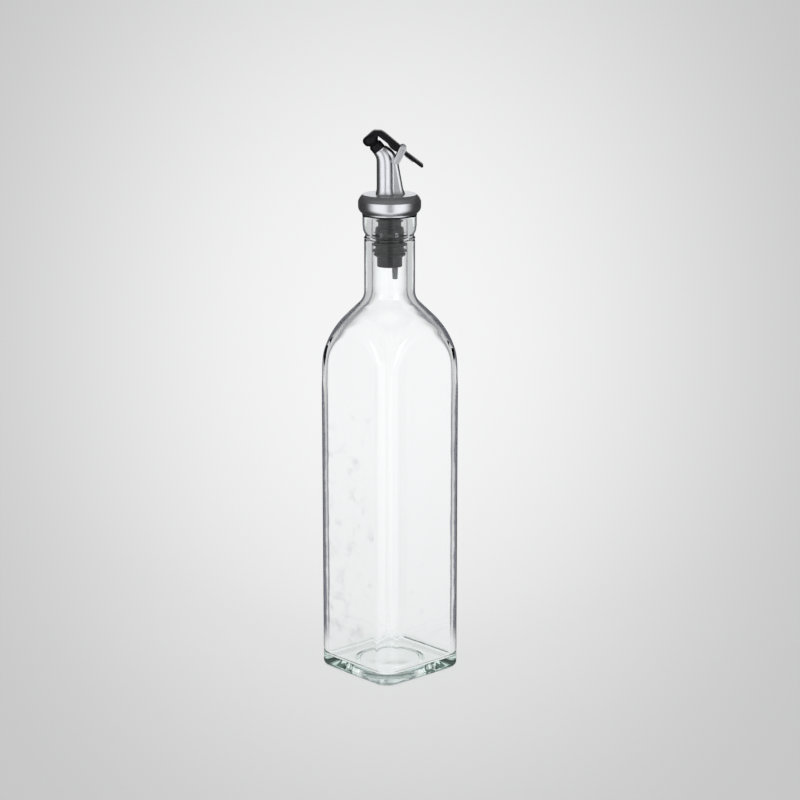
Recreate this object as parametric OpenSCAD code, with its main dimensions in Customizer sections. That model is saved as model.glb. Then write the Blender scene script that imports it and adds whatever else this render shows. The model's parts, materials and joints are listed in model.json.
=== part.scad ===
// Square glass oil bottle with a lever pourer set in a finned rubber stopper.
// Millimetres. The origin is the centre of the base, +Z runs up the bottle,
// and the flat faces of the body look along X and Y. The pourer is drawn with
// its spout towards -X and its lever's plane on Y = 0, and is then turned.

/* [Bottle] */
// Width of the square body across its flats
body_w = 60; // [50:1:80]
// Height at which the shoulder starts
body_h = 173; // [120:1:230]
// Radius of the four upright corners
corner_r = 10; // [7:0.5:13]
// Thickness of the body's wall
wall_t = 3; // [2:0.1:4]
// Thickness of the glass floor
floor_t = 6; // [5:0.5:9]
// Rounding of the heel round the base
heel_r = 3; // [1:0.5:5]
// Radius of the round push-up under the floor
punt_r = 19.5; // [14:0.5:22]
// Depth of the push-up
punt_h = 2.5; // [1:0.1:3.5]
// Radius of the shoulder's outward curve
shoulder_r = 45; // [35:1:50]
// Angle by which the shoulder leans in
shoulder_lean = 46; // [42:1:55]
// Radius of the curve between shoulder and neck
neck_blend_r = 9.5; // [6:0.5:12]
// Outer radius of the neck
neck_r = 14.1; // [13.5:0.1:16]
// Length of the neck, from shoulder to rim
neck_l = 42.2; // [36:0.1:60]
// Outer radius of the band under the rim
rim_r = 15; // [14.5:0.1:17]
// Radius of the bore through the neck
bore_r = 10; // [8.5:0.1:12]

/* [Stopper and stem] */
// Radius of the stem that carries the stopper
stem_r = 6.5; // [6:0.1:7.8]
// Radius of the passage up the stem
stem_bore_r = 5.2; // [4.8:0.1:5.3]
// Height of the stem below the rim
stem_l = 28.3; // [26:0.1:34]
// Radius of the hub under the gasket
hub_r = 8; // [7.9:0.1:8.4]
// Number of fins on the stopper
fin_count = 4; // [3:1:4]
// Distance from one fin to the next
fin_pitch = 3.4; // [3:0.1:3.6]
// Outer radius of the air tube
vent_r = 1.75; // [1.4:0.05:1.9]
// Length of the air tube below the stem
vent_drop = 7.2; // [4:0.1:20]

/* [Collar] */
// Thickness of the gasket on the rim
gasket_t = 0.8; // [0.5:0.1:1.5]
// Height of the collar
collar_h = 11; // [9:0.5:15]
// Largest radius of the collar
collar_r = 17.45; // [17:0.05:20]
// Thickness of the collar's metal
collar_t = 1.2; // [0.8:0.1:2]

/* [Spout] */
// Angle of the spout about the bottle's axis
pourer_turn = 48; // [0:1:359]
// Distance of the upright tube from the axis
tube_x = 2.5; // [2:0.1:3]
// Radius of the upright tube
tube_r = 4.6; // [4.3:0.1:5]
// Distance of the mouth from the bottle's axis
mouth_x = 5.65; // [5:0.05:7]
// Height of the mouth above the collar
mouth_h = 24.5; // [22:0.5:30]
// Slope of the mouth's axis above level
mouth_tilt = 50; // [45:1:60]
// Outer radius of the mouth
mouth_r = 3.9; // [3.7:0.05:4.1]
// Length of nozzle that stands out of the mouth
nozzle_l = 4.3; // [3.5:0.1:5]
// Outer radius of the nozzle
nozzle_r = 3.75; // [3.6:0.05:4]
// Radius of the pouring hole
pour_r = 1.9; // [1.5:0.05:2]
// Half thickness of the rib behind the tube
rib_half = 2.1; // [1.8:0.1:2.6]

/* [Lever] */
// Distance of the hinge pin from the bottle's axis
pivot_x = 7.3; // [7:0.1:9]
// Height of the hinge pin above the middle of the mouth
pivot_up = 0.7; // [0:0.1:1.5]
// Radius of the hinge pin
pin_r = 0.6; // [0.4:0.05:0.7]
// Half width of the lever
lever_half = 3.5; // [3.2:0.1:4]
// Thickness of the lever's arm
arm_t = 3.5; // [3:0.1:4]
// Length of the thumb plate from the pin
thumb_l = 15; // [12:0.1:20]
// Half width of the thumb plate
thumb_half = 4.5; // [4:0.1:6]
// Radius of the cap over the nozzle
cap_r = 4.45; // [4.2:0.05:4.8]
// Height of the cap along the mouth's axis
cap_t = 5.3; // [4.5:0.1:6]
// Wire radius of the return spring
wire_r = 0.3; // [0.2:0.05:0.35]

/* [Fits] */
// Clearance between pieces fixed to each other
fixed_gap = 0.02; // [0.01:0.01:0.04]
// Radial clearance of pieces that turn on each other
turn_gap = 0.05; // [0.03:0.01:0.08]
// Clearance between the fins and the glass
fin_gap = 0.05; // [0.03:0.01:0.1]
// Clearance at the sides of moving pieces
side_gap = 0.25; // [0.2:0.05:0.3]

/* [Hidden] */
$fn = 64;

// Shoulder: an outward arc, a straight slope and an inward arc into the neck.
corner_reach = (body_w / 2 - corner_r) * sqrt(2) + corner_r;
shoulder_over = 0.3;
shoulder_x = corner_reach + shoulder_over - shoulder_r;
slope_x = shoulder_x + shoulder_r * cos(shoulder_lean);
slope_z = body_h + shoulder_r * sin(shoulder_lean);
blend_x = neck_r + neck_blend_r * (1 - cos(shoulder_lean));
blend_z = slope_z + (slope_x - blend_x) / tan(shoulder_lean);
neck_z = blend_z + neck_blend_r * sin(shoulder_lean);
rim_z = neck_z + neck_l;

// The finish: a band below the rim, an undercut and a small bead.
band_h = 5.2;
undercut_h = 5.8;
undercut_r = rim_r - 1.5;
bead_r = 0.7;
bead_z = rim_z - band_h - undercut_h - 1.4;
rim_round = 0.9;

// Stopper: fins from the upper one down, and the ends of the sleeve.
sleeve_r = stem_r + turn_gap;
sleeve_top = rim_z - 6.1;
fin_top = rim_z - 8.8;
fin_t = 1.1;
fin_low = fin_top - (fin_count - 1) * fin_pitch;
sleeve_end = fin_low - 4.2;
foot_r = stem_r + 0.5;
skirt_gap = 0.65;
hub_h = 3;

// Collar and the stem's flange inside it.
collar_z = rim_z + gasket_t;
top_z = collar_z + collar_h;
flange_r = collar_r - collar_t - 2.2;
flange_t = 3;
spigot_r = 6.3;
socket_depth = 3;
chamber_top = collar_z + 1;
vent_x = 3;
vent_bore_r = 0.5;
gallery_z = collar_z + 5.3;
vent_top = collar_z + 4.6;
vent_shift = 2.2;
pour_shift = -0.5;

// The mouth's frame: out along the nozzle, and across it towards the rear.
out_x = -cos(mouth_tilt);
out_z = sin(mouth_tilt);
mouth_z = top_z + mouth_h;
function at_mouth(across, out) =
    [-mouth_x + across * out_z + out * out_x, mouth_z - across * out_x + out * out_z];
elbow_back = (mouth_x - tube_x) / -out_x;
elbow_z = mouth_z - elbow_back * out_z;
liner_r = 3.1;
// The sloping rods are a hair thinner, so that the two never share a surface
slope_thin = 0.03;

// Hinge
pivot_z = mouth_z + pivot_up;
ear_r = 2;
ear_t = 1.2;
ear_in = lever_half + side_gap;
ear_out = ear_in + ear_t;
slot_r = 6.2;
yoke_r = 1.7;
yoke_x = pivot_x - 3.2;
yoke_z = pivot_z - 6.6;
seal_lift = 0.12;
seal_r = 3.15;
seal_t = 1.45;
seal_show = 0.45;
seal_stud_r = 1.15;
seal_stud_l = 2.4;
cap_from = nozzle_l + seal_lift + seal_show;
cap_to = cap_from + cap_t;
cap_low_round = 2.1;
cap_top_round = 2.3;

function arc(c, r, a0, a1, n) =
    [for (i = [0 : n]) c + r * [cos(a0 + (a1 - a0) * i / n), sin(a0 + (a1 - a0) * i / n)]];
function unit(v) = v / norm(v);
function bezier(p, t) =
    pow(1 - t, 3) * p[0] + 3 * t * pow(1 - t, 2) * p[1] + 3 * t * t * (1 - t) * p[2] + t * t * t * p[3];
// Larger of two values, with the step between them rounded over k
function soft_max(a, b, k) = (a + b + sqrt((a - b) * (a - b) + k * k)) / 2;

module turned() rotate([0, 0, pourer_turn]) children();
// Stands a drawing of the lever's plane upright and gives it a half width
module across_y(half) rotate([90, 0, 0]) translate([0, 0, -half]) linear_extrude(2 * half) children();
// Moves to the mouth, with +Z out along the nozzle
module on_mouth() translate([-mouth_x, 0, mouth_z]) rotate([0, mouth_tilt - 90, 0]) children();
module rod_y(r, half) rotate([90, 0, 0]) cylinder(r = r, h = 2 * half, center = true);
module ring(r_out, r_in, h) difference() {
    cylinder(r = r_out, h = h);
    translate([0, 0, -1]) cylinder(r = r_in, h = h + 2);
}

// Edge of a block whose lower rim is rounded over heel
module edge_profile(r, heel, h) {
    square([r - heel, h]);
    translate([0, heel]) square([r, h - heel]);
    translate([r - heel, heel]) circle(r = heel);
}

// Upright block on Z = 0 with rounded corners and a rounded lower rim
module rounded_block(w, r, heel, h) {
    side = w / 2 - r;
    translate([-side, -side, 0]) cube([2 * side, 2 * side, h]);
    for (a = [0 : 90 : 270]) rotate([0, 0, a]) {
        translate([side, side, 0]) rotate_extrude() edge_profile(r, heel, h);
        translate([side, side, 0]) rotate([90, 0, 0]) linear_extrude(2 * side) edge_profile(r, heel, h);
    }
}

// Half outline of the shoulder; inset moves it inwards from the outer face
function shoulder_outline(inset, throat_r, throat_blend, top) =
    let (lean = shoulder_lean,
         r = shoulder_r - inset,
         p = [shoulder_x + r * cos(lean), body_h + r * sin(lean)],
         qx = throat_r + throat_blend * (1 - cos(lean)),
         qz = p[1] + (p[0] - qx) / tan(lean),
         end_z = qz + throat_blend * sin(lean))
    concat([[0, -1], [shoulder_x + r, -1]],
           arc([shoulder_x, body_h], r, 0, lean, 12),
           arc([throat_r + throat_blend, end_z], throat_blend, 180 + lean, 180, 8),
           [[throat_r, top], [0, top]]);

module finish_outline() {
    polygon(concat(
        [[0, neck_z], [neck_r, neck_z], [neck_r, bead_z - bead_r], [undercut_r, bead_z],
         [undercut_r, rim_z - band_h - undercut_h]],
        arc([rim_r - 12, rim_z - band_h], 12, -29, 0, 8),
        arc([rim_r - rim_round, rim_z - rim_round], rim_round, 0, 90, 6),
        [[0, rim_z]]));
    translate([undercut_r, bead_z]) circle(r = bead_r);
}

module bottle() color("lightcyan", 0.4) difference() {
    union() {
        intersection() {
            rounded_block(body_w, corner_r, heel_r, neck_z);
            rotate_extrude() polygon(shoulder_outline(0, neck_r, neck_blend_r, neck_z + 1));
        }
        rotate_extrude() finish_outline();
    }
    intersection() {
        translate([0, 0, floor_t])
            rounded_block(body_w - 2 * wall_t, corner_r - wall_t, heel_r, neck_z);
        rotate_extrude() polygon(shoulder_outline(wall_t, bore_r, neck_blend_r + wall_t, neck_z + 8));
    }
    translate([0, 0, neck_z]) cylinder(r = bore_r, h = neck_l + 1);
    translate([0, 0, -1]) cylinder(r = punt_r, h = 1 + punt_h / 2);
    translate([0, 0, punt_h / 2 - 0.01]) cylinder(r1 = punt_r, r2 = punt_r - 4, h = punt_h / 2);
}

// One fin: a thin lip that leans up to the glass
module fin_outline(z) polygon([[sleeve_r + 1, z - fin_t], [bore_r - fin_gap, z - 0.35],
                               [bore_r - fin_gap, z], [sleeve_r + 1, z - 0.2]]);

module stopper() color("#1c1d20") rotate_extrude() {
    polygon([[sleeve_r, sleeve_end], [foot_r, sleeve_end], [bore_r - skirt_gap, fin_low - 2.2],
             [sleeve_r + 1.3, fin_low - 0.9], [sleeve_r + 1.3, fin_top - 0.4],
             [foot_r, sleeve_top], [sleeve_r, sleeve_top]]);
    for (i = [0 : fin_count - 1]) fin_outline(fin_top - i * fin_pitch);
}

// The stem's outer turning: foot, shaft, hub, flange and the spigot on top
module stem_body() {
    foot_z = rim_z - stem_l;
    translate([0, 0, foot_z]) cylinder(r = foot_r, h = sleeve_end - 0.1 - foot_z);
    translate([0, 0, foot_z]) cylinder(r = stem_r, h = stem_l);
    translate([0, 0, rim_z - hub_h]) cylinder(r = hub_r, h = hub_h);
    translate([0, 0, rim_z - 0.1]) cylinder(r = stem_r, h = gasket_t + 0.2);
    translate([0, 0, collar_z]) cylinder(r = flange_r, h = flange_t);
    translate([0, 0, collar_z]) cylinder(r = spigot_r, h = collar_h - collar_t);
}

module stem() color("#25272b") turned() difference() {
    stem_body();
    translate([0, 0, rim_z - stem_l - 1]) cylinder(r = stem_bore_r, h = chamber_top - rim_z + stem_l + 1);
    translate([pour_shift - tube_x, 0, chamber_top - 1]) cylinder(r = pour_r, h = collar_h);
    translate([-tube_x, 0, top_z - collar_t - socket_depth]) cylinder(r = liner_r + fixed_gap, h = collar_h);
    translate([vent_x, 0, chamber_top - 1]) cylinder(r = vent_r + fixed_gap, h = vent_top - chamber_top + 1);
    translate([vent_x, 0, chamber_top]) cylinder(r = vent_bore_r, h = gallery_z - chamber_top);
    translate([vent_shift - tube_x, 0, gallery_z]) cylinder(r = vent_bore_r, h = collar_h);
    translate([vent_shift - tube_x, 0, gallery_z]) rotate([0, 90, 0])
        cylinder(r = vent_bore_r, h = vent_x - vent_shift + tube_x);
}

module vent_tube() color("#8d9094") turned() translate([vent_x, 0, 0]) difference() {
    low = rim_z - stem_l - vent_drop;
    union() {
        translate([0, 0, low]) cylinder(r1 = vent_r - 0.3, r2 = vent_r, h = vent_drop);
        translate([0, 0, low + vent_drop]) cylinder(r = vent_r, h = vent_top - low - vent_drop);
    }
    translate([0, 0, low - 1]) cylinder(r = vent_r - 0.7, h = vent_top - low + 2);
}

module gasket() color("#141416") translate([0, 0, rim_z + turn_gap])
    ring(rim_r + 0.2, stem_r + fixed_gap, gasket_t - turn_gap);

// Collar: a chamfered upper edge, a barrel-shaped band and a rounded lower edge
module collar() color("#b9bbbd") turned() difference() {
    rotate_extrude() polygon(concat(
        [[0, collar_z], [collar_r - 2.3, collar_z]],
        arc([collar_r - 4.4, collar_z + 4.4], 4.4, -60, -8, 8),
        arc([collar_r - 24, collar_z + collar_h / 2], 24, -2, 6, 6),
        [[collar_r - 0.9, top_z - 1.5], [collar_r - 1.6, top_z - 0.6], [collar_r - 2.4, top_z], [0, top_z]]));
    translate([0, 0, collar_z - 1]) cylinder(r = flange_r + fixed_gap, h = collar_h - collar_t + 1);
    translate([-tube_x, 0, collar_z]) cylinder(r = liner_r + fixed_gap, h = collar_h + 1);
}

// The shell's side outlines: upright below, then bending over to the mouth
bend_h = mouth_h - 8.5;
front_x = -tube_x - tube_r;
rear_foot_x = 8;
rear_bend_x = 5.1;
foot_flare = 0.7;
flare_h = 4;
mouth_front = at_mouth(-mouth_r, 0);
mouth_rear = at_mouth(mouth_r, 0);
function flare(h) = h < flare_h ? foot_flare * pow(1 - h / flare_h, 2) : 0;
function front_side(t) = t < 1
    ? [front_x - flare(t * bend_h), top_z + t * bend_h]
    : bezier([[front_x, top_z + bend_h], [front_x, top_z + bend_h + 3],
              mouth_front - 2.5 * [out_x, out_z], mouth_front], t - 1);
function rear_side(t) = t < 1
    ? [rear_foot_x + (rear_bend_x - rear_foot_x) * t + flare(t * bend_h), top_z + t * bend_h]
    : bezier([[rear_bend_x, top_z + bend_h], [rear_bend_x - 0.1, top_z + bend_h + 5.8],
              mouth_rear - 2.7 * [out_x, out_z] + 1.6 * [out_z, -out_x], mouth_rear], t - 1);
// Half width at distance d behind the front side, on a section that is w deep:
// a round tube in front, a slim round-ended rib behind, blended together
function half_width(d, w, r, rib) =
    let (tube = sqrt(max(0, r * r - pow(d - r, 2))),
         tail = sqrt(max(0, rib * rib - pow(max(0, d - w + rib), 2))),
         k = 0.8 * min(1, (w - 2 * r) / r))
    k < 0.05 ? sqrt(max(0, d * (w - d))) :
    soft_max(tube, min(tail, rib * d / r + 0.001), k * sqrt(max(0, tube * tail)) / rib);
shell_rings = 22;
shell_steps = 40;
function shell_ring(t) =
    let (f = front_side(t), b = rear_side(t), w = norm(b - f), dir = unit(b - f),
         s = max(0, t - 1), r = min(w / 2, tube_r + (mouth_r - tube_r) * s + flare(t * bend_h)),
         rib = rib_half + (mouth_r - rib_half) * pow(s, 2) + flare(t * bend_h))
    [for (i = [0 : shell_steps - 1])
        let (a = 360 * (i + 0.5) / shell_steps, d = w * (1 - cos(a)) / 2,
             y = half_width(d, w, r, min(rib, w / 2)))
        [f[0] + dir[0] * d, a < 180 ? y : -y, f[1] + dir[1] * d]];
module shell_skin() {
    points = [for (i = [0 : shell_rings]) each shell_ring(2 * i / shell_rings)];
    polyhedron(points, concat(
        [[for (j = [shell_steps - 1 : -1 : 0]) j]],
        [for (i = [0 : shell_rings - 1], j = [0 : shell_steps - 1])
            let (n = (j + 1) % shell_steps, a = i * shell_steps, b = a + shell_steps) [a + j, a + n, b + n, b + j]],
        [[for (j = [0 : shell_steps - 1]) shell_rings * shell_steps + j]]));
}

// A cheek of the yoke that holds the pin, drawn in the lever's plane
module ear_outline() {
    d = unit([pivot_x - yoke_x, pivot_z - yoke_z]);
    n = [d[1], -d[0]];
    pivot = [pivot_x, pivot_z];
    yoke = [yoke_x, yoke_z];
    translate(pivot) circle(r = ear_r);
    translate(yoke) circle(r = yoke_r);
    polygon([pivot + ear_r * n, pivot - ear_r * n, yoke - yoke_r * n, yoke + yoke_r * n]);
}

// Upright rod and sloping rod that meet in the elbow; shift moves both rearwards
module liner_path(r, shift, low, out) {
    turn = shift * (1 - out_z) / -out_x;
    bend = elbow_z - shift * out_x - turn * out_z;
    lap = 0.3 * r;
    translate([shift - tube_x, 0, low]) cylinder(r = r, h = bend - low + lap);
    translate([shift - tube_x, 0, bend]) rotate([0, mouth_tilt - 90, 0]) translate([0, 0, -lap])
        cylinder(r = r - slope_thin, h = elbow_back + turn + out + lap);
}

module spout_shell() color("#b4b6b8") turned() difference() {
    union() {
        shell_skin();
        difference() {
            across_y(ear_out) ear_outline();
            across_y(ear_in) translate([pivot_x, pivot_z]) circle(r = slot_r);
        }
    }
    liner_path(liner_r + fixed_gap, 0, top_z - 1, 2);
    translate([pivot_x, 0, pivot_z]) rod_y(pin_r + fixed_gap, ear_out + 1);
}

module nozzle() color("#1b1c1f") turned() difference() {
    union() {
        liner_path(liner_r, 0, top_z - collar_t - socket_depth, 0.5);
        on_mouth() translate([0, 0, 0.05]) rotate_extrude() polygon(concat(
            [[0, 0], [nozzle_r, 0]],
            arc([nozzle_r - 1.3, nozzle_l - 1.35], 1.3, 0, 90, 6),
            [[0, nozzle_l - 0.05]]));
    }
    liner_path(pour_r, pour_shift, top_z - collar_t - socket_depth - 1, nozzle_l + 1);
    liner_path(vent_bore_r, vent_shift, top_z - collar_t - socket_depth - 1, nozzle_l + 1);
}

module pivot_pin() color("#8f9194") turned() translate([pivot_x, 0, pivot_z]) rod_y(pin_r, ear_out - 0.3);

// Return spring: a coil round the pin, one leg under the thumb plate and one on the yoke
coil_r = pin_r + 0.15 + wire_r;
coil_turns = 4;
coil_half = 1.5;
thumb_slope = 36.6;
thumb_dir = [cos(thumb_slope), -sin(thumb_slope)];
thumb_down = [-sin(thumb_slope), -cos(thumb_slope)];
thumb_t = 1.8;
thumb_drop = 0.35;
thumb_from = 6.3;
leg_drop = thumb_drop + thumb_t + wire_r + 0.05;
yoke_leg = 4.2;
function in_plane(p, y) = [pivot_x + p[0], y, pivot_z + p[1]];
leg_start = 180 + 90 - thumb_slope;
leg_end = leg_start - coil_turns * 360 - 90;
spring_path = concat(
    [in_plane(thumb_dir * 9 + thumb_down * leg_drop, -coil_half),
     in_plane(thumb_dir * 4 + thumb_down * leg_drop, -coil_half),
     in_plane(thumb_dir * 2.4 + thumb_down * (leg_drop - 0.5), -coil_half)],
    [for (i = [0 : 12 * coil_turns + 3])
        let (a = leg_start - 30 * i)
        in_plane(coil_r * [cos(a), sin(a)], -coil_half + 2 * coil_half * i / (12 * coil_turns + 3))],
    [in_plane(coil_r * [cos(leg_end), sin(leg_end)] + yoke_leg * [-0.42, -0.91], coil_half)]);
module swept_wire(path, r, sides) {
    n = len(path);
    points = [for (i = [0 : n - 1])
        let (dir = unit(path[min(i + 1, n - 1)] - path[max(i - 1, 0)]),
             u = unit(cross(dir, [0.01, 1, 0.02])), v = cross(dir, u))
        each [for (j = [0 : sides - 1]) path[i] + r * (cos(360 * j / sides) * u + sin(360 * j / sides) * v)]];
    polyhedron(points, concat(
        [[for (j = [sides - 1 : -1 : 0]) j]],
        [for (i = [0 : n - 2], j = [0 : sides - 1])
            let (m = (j + 1) % sides, a = i * sides, b = a + sides) [a + j, a + m, b + m, b + j]],
        [[for (j = [0 : sides - 1]) (n - 1) * sides + j]]));
}
module return_spring() color("#a9abae") turned() swept_wire(spring_path, wire_r, 8);

// Lever: side view of the arm, whose line runs from the pin to just under the
// head's rear corner
pivot = [pivot_x, pivot_z];
head_low = 6.4;
head_corner = at_mouth(7.9, cap_to - 3);
arm_l = norm(head_corner - pivot);
arm_slope = atan2(head_corner[1] - pivot[1], pivot[0] - head_corner[0]) - 0.6;
arm_dir = [-cos(arm_slope), sin(arm_slope)];
arm_up = [sin(arm_slope), cos(arm_slope)];
arm_lift = 0.4;
function on_arm(along, up) = pivot + along * arm_dir + up * arm_up;
module arm_outline() {
    polygon([at_mouth(0, cap_to), at_mouth(cap_r + 0.2, cap_to), head_corner,
             on_arm(arm_l - 2.5, arm_lift), on_arm(0, arm_lift), on_arm(0, arm_lift - arm_t),
             on_arm(3, -3.9), on_arm(5.6, -4), on_arm(arm_l - 6.8, arm_lift - arm_t),
             at_mouth(cap_r, head_low), at_mouth(0, cap_from + 2)]);
    translate(pivot) circle(r = ear_r);
}
module thumb_outline() polygon([
    pivot + thumb_dir * thumb_from + thumb_down * thumb_drop,
    pivot + thumb_dir * (thumb_l - 0.7) + thumb_down * (thumb_drop + 0.2),
    pivot + thumb_dir * thumb_l + thumb_down * (thumb_drop + 0.9),
    pivot + thumb_dir * (thumb_l - 0.7) + thumb_down * (thumb_drop + thumb_t),
    pivot + thumb_dir * thumb_from + thumb_down * (thumb_drop + thumb_t)]);
// The root is as narrow as the arm, so that it swings down between the cheeks
module thumb_root() polygon([
    pivot, pivot + thumb_dir * (thumb_from + 0.2) + thumb_down * thumb_drop,
    pivot + thumb_dir * (thumb_from + 0.2) + thumb_down * (thumb_drop + thumb_t),
    pivot + thumb_down * (thumb_drop + thumb_t)]);

module lever() color("#17181a") turned() difference() {
    union() {
        across_y(lever_half) arm_outline();
        across_y(lever_half) thumb_root();
        across_y(thumb_half) thumb_outline();
        on_mouth() translate([0, 0, cap_from]) rotate_extrude() polygon(concat(
            [[0, 0]],
            arc([cap_r - cap_low_round, cap_low_round], cap_low_round, -90, 0, 7),
            arc([cap_r - cap_top_round, cap_t - cap_top_round], cap_top_round, 0, 90, 8),
            [[0, cap_t]]));
    }
    across_y(coil_half + wire_r + side_gap) {
        translate(pivot) circle(r = coil_r + wire_r + 0.15);
        polygon([pivot + [-4.4, -3.4], pivot + [-1.3, 0.4], pivot + [1.3, 0],
                 pivot + thumb_dir * 3.2 + thumb_down, pivot + thumb_dir * 3.2 - [0, 5], pivot + [-4.4, -6]]);
    }
    translate([pivot_x, 0, pivot_z]) rod_y(pin_r + turn_gap, ear_out);
    on_mouth() translate([0, 0, cap_from - 1]) cylinder(r = seal_r + fixed_gap, h = 1 + seal_t - seal_show);
    on_mouth() translate([0, 0, cap_from]) cylinder(r = seal_stud_r + fixed_gap, h = seal_t - seal_show + seal_stud_l);
}

module seal_plug() color("#0f1011") turned() on_mouth() translate([0, 0, nozzle_l + seal_lift]) {
    cylinder(r = seal_r, h = seal_t - fixed_gap);
    cylinder(r = seal_stud_r, h = seal_t + seal_stud_l - fixed_gap);
}

bottle();
stopper();
stem();
vent_tube();
gasket();
collar();
spout_shell();
nozzle();
pivot_pin();
return_spring();
lever();
seal_plug();
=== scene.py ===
"""Square glass oil bottle with a lever pourer: the finished look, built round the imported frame.

Metres, in the frame's own axes: the origin is the centre of the base and +Z runs up the bottle.
The pourer's pieces are drawn with the spout towards -X and the lever's plane on Y = 0, and are
then turned about the bottle's axis to where the lever's joint says.
"""

import json
import math

import bmesh
import bpy
import numpy as np
from bpy.props import FloatProperty, FloatVectorProperty, IntProperty, PointerProperty
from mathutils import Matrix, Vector


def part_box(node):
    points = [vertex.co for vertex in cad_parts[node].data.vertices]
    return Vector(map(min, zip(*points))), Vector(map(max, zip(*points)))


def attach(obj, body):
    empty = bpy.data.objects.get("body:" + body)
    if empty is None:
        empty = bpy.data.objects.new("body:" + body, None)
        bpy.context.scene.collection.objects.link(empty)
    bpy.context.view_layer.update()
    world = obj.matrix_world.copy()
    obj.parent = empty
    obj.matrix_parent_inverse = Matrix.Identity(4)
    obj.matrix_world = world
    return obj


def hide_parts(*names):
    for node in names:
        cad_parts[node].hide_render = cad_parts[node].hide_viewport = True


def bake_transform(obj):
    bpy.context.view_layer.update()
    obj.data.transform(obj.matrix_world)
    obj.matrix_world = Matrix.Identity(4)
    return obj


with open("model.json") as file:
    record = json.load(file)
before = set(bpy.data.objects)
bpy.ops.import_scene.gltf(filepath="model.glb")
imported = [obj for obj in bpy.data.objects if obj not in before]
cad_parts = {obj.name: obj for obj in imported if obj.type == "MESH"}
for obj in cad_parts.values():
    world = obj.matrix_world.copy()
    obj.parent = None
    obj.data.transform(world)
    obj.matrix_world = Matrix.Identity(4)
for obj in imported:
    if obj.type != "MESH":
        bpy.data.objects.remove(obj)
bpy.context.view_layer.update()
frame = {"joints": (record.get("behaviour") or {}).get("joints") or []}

bl_info = {
    "name": "Oil bottle with lever pourer",
    "version": (1, 0, 0),
    "blender": (4, 5, 0),
    "location": "3D View > Sidebar > Oil bottle",
    "description": "Builds the bottle, its stopper, its lever pourer and a small studio",
    "category": "Object",
}

MM = 0.001
BOTTLE_LOW, BOTTLE_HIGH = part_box("bottle")
COLLAR_LOW, COLLAR_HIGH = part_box("collar")
LEVER_JOINT = next(j for j in frame["joints"] if j["name"] == "lever_press")
PIVOT_AT = Vector(LEVER_JOINT["pos_m"])
POURER_TURN = math.atan2(PIVOT_AT.y, PIVOT_AT.x)
PIVOT = np.array([math.hypot(PIVOT_AT.x, PIVOT_AT.y), PIVOT_AT.z])

# Sizes that several pieces share
FIT, TURN_FIT = 0.02 * MM, 0.05 * MM
LINER, SOCKET_DEPTH, SLOPE_THIN = 3.1 * MM, 4.2 * MM, 0.03 * MM
POUR_SHIFT, AIR_SHIFT, AIR_HOLE = -0.5 * MM, 2.2 * MM, 0.5 * MM
SLOT_RADIUS, PIN_REACH = 6.2 * MM, 6 * MM
SEAL_LIFT, SEAL_SHOW, SEAL_DISC, SEAL_STUD = 0.12 * MM, 0.45 * MM, 3.15 * MM, 1.15 * MM
THUMB_DROP, THUMB_THICK = 0.35 * MM, 1.8 * MM
COIL_GAP, COIL_HALF = 0.15 * MM, 1.5 * MM


# ---------------------------------------------------------------- sizes and colours


def millimetres(name, value, text):
    """A length property, given in millimetres and kept in metres."""
    return FloatProperty(name=name, description=text, default=value * MM, unit="LENGTH", precision=5)


def degrees(name, value, text):
    """An angle property, given in degrees."""
    return FloatProperty(name=name, description=text, default=math.radians(value), unit="ROTATION")


def tint(name, value, text):
    """A linear colour property."""
    return FloatVectorProperty(name=name, description=text, default=value, size=3, min=0, max=1,
                               subtype="COLOR")


class BottleSizes(bpy.types.PropertyGroup):
    width: FloatProperty(
        name="Width", description="Width of the square body across its flats",
        default=BOTTLE_HIGH.x - BOTTLE_LOW.x, unit="LENGTH")
    corner: millimetres("Corner radius", 10, "Radius of the four upright corners")
    wall: millimetres("Wall", 3, "Thickness of the body's wall")
    floor: millimetres("Floor", 6, "Thickness of the glass floor at its edge")
    heel: millimetres("Heel", 3, "Rounding of the heel round the base")
    punt: millimetres("Push-up radius", 19.5, "Radius of the round push-up under the floor")
    punt_rise: millimetres("Push-up height", 2.5, "Height of the push-up")
    shoulder: millimetres("Shoulder radius", 45, "Radius of the shoulder's outward curve")
    lean: degrees("Shoulder lean", 46, "Angle by which the shoulder leans in")
    neck_blend: millimetres("Neck curve", 9.5, "Radius of the curve between shoulder and neck")
    neck: millimetres("Neck radius", 14.1, "Outer radius of the neck")
    neck_length: millimetres("Neck length", 42.2, "Length of the neck, from shoulder to rim")
    rim: millimetres("Rim radius", 15, "Outer radius of the band under the rim")
    bore: millimetres("Bore radius", 10, "Radius of the bore through the neck")
    crease: millimetres("Arch softness", 1.6, "Width of the soft crease where the shoulder meets a flat")
    ripple: millimetres("Ripple", 0.12, "Unevenness of the inner wall")


class StopperSizes(bpy.types.PropertyGroup):
    stem: millimetres("Stem radius", 6.5, "Radius of the stem that carries the stopper")
    passage: millimetres("Passage radius", 5.2, "Radius of the passage up the stem")
    stem_length: millimetres("Stem length", 28.3, "Length of the stem below the rim")
    hub: millimetres("Hub radius", 8, "Radius of the hub under the gasket")
    fin_pitch: millimetres("Fin pitch", 3.4, "Distance from one fin to the next")
    fins: IntProperty(name="Fins", description="Number of fins on the stopper", default=4, min=2, max=5)
    vent: millimetres("Air tube radius", 1.75, "Outer radius of the air tube")
    vent_drop: millimetres("Air tube length", 7.2, "Length of the air tube below the stem")


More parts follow.
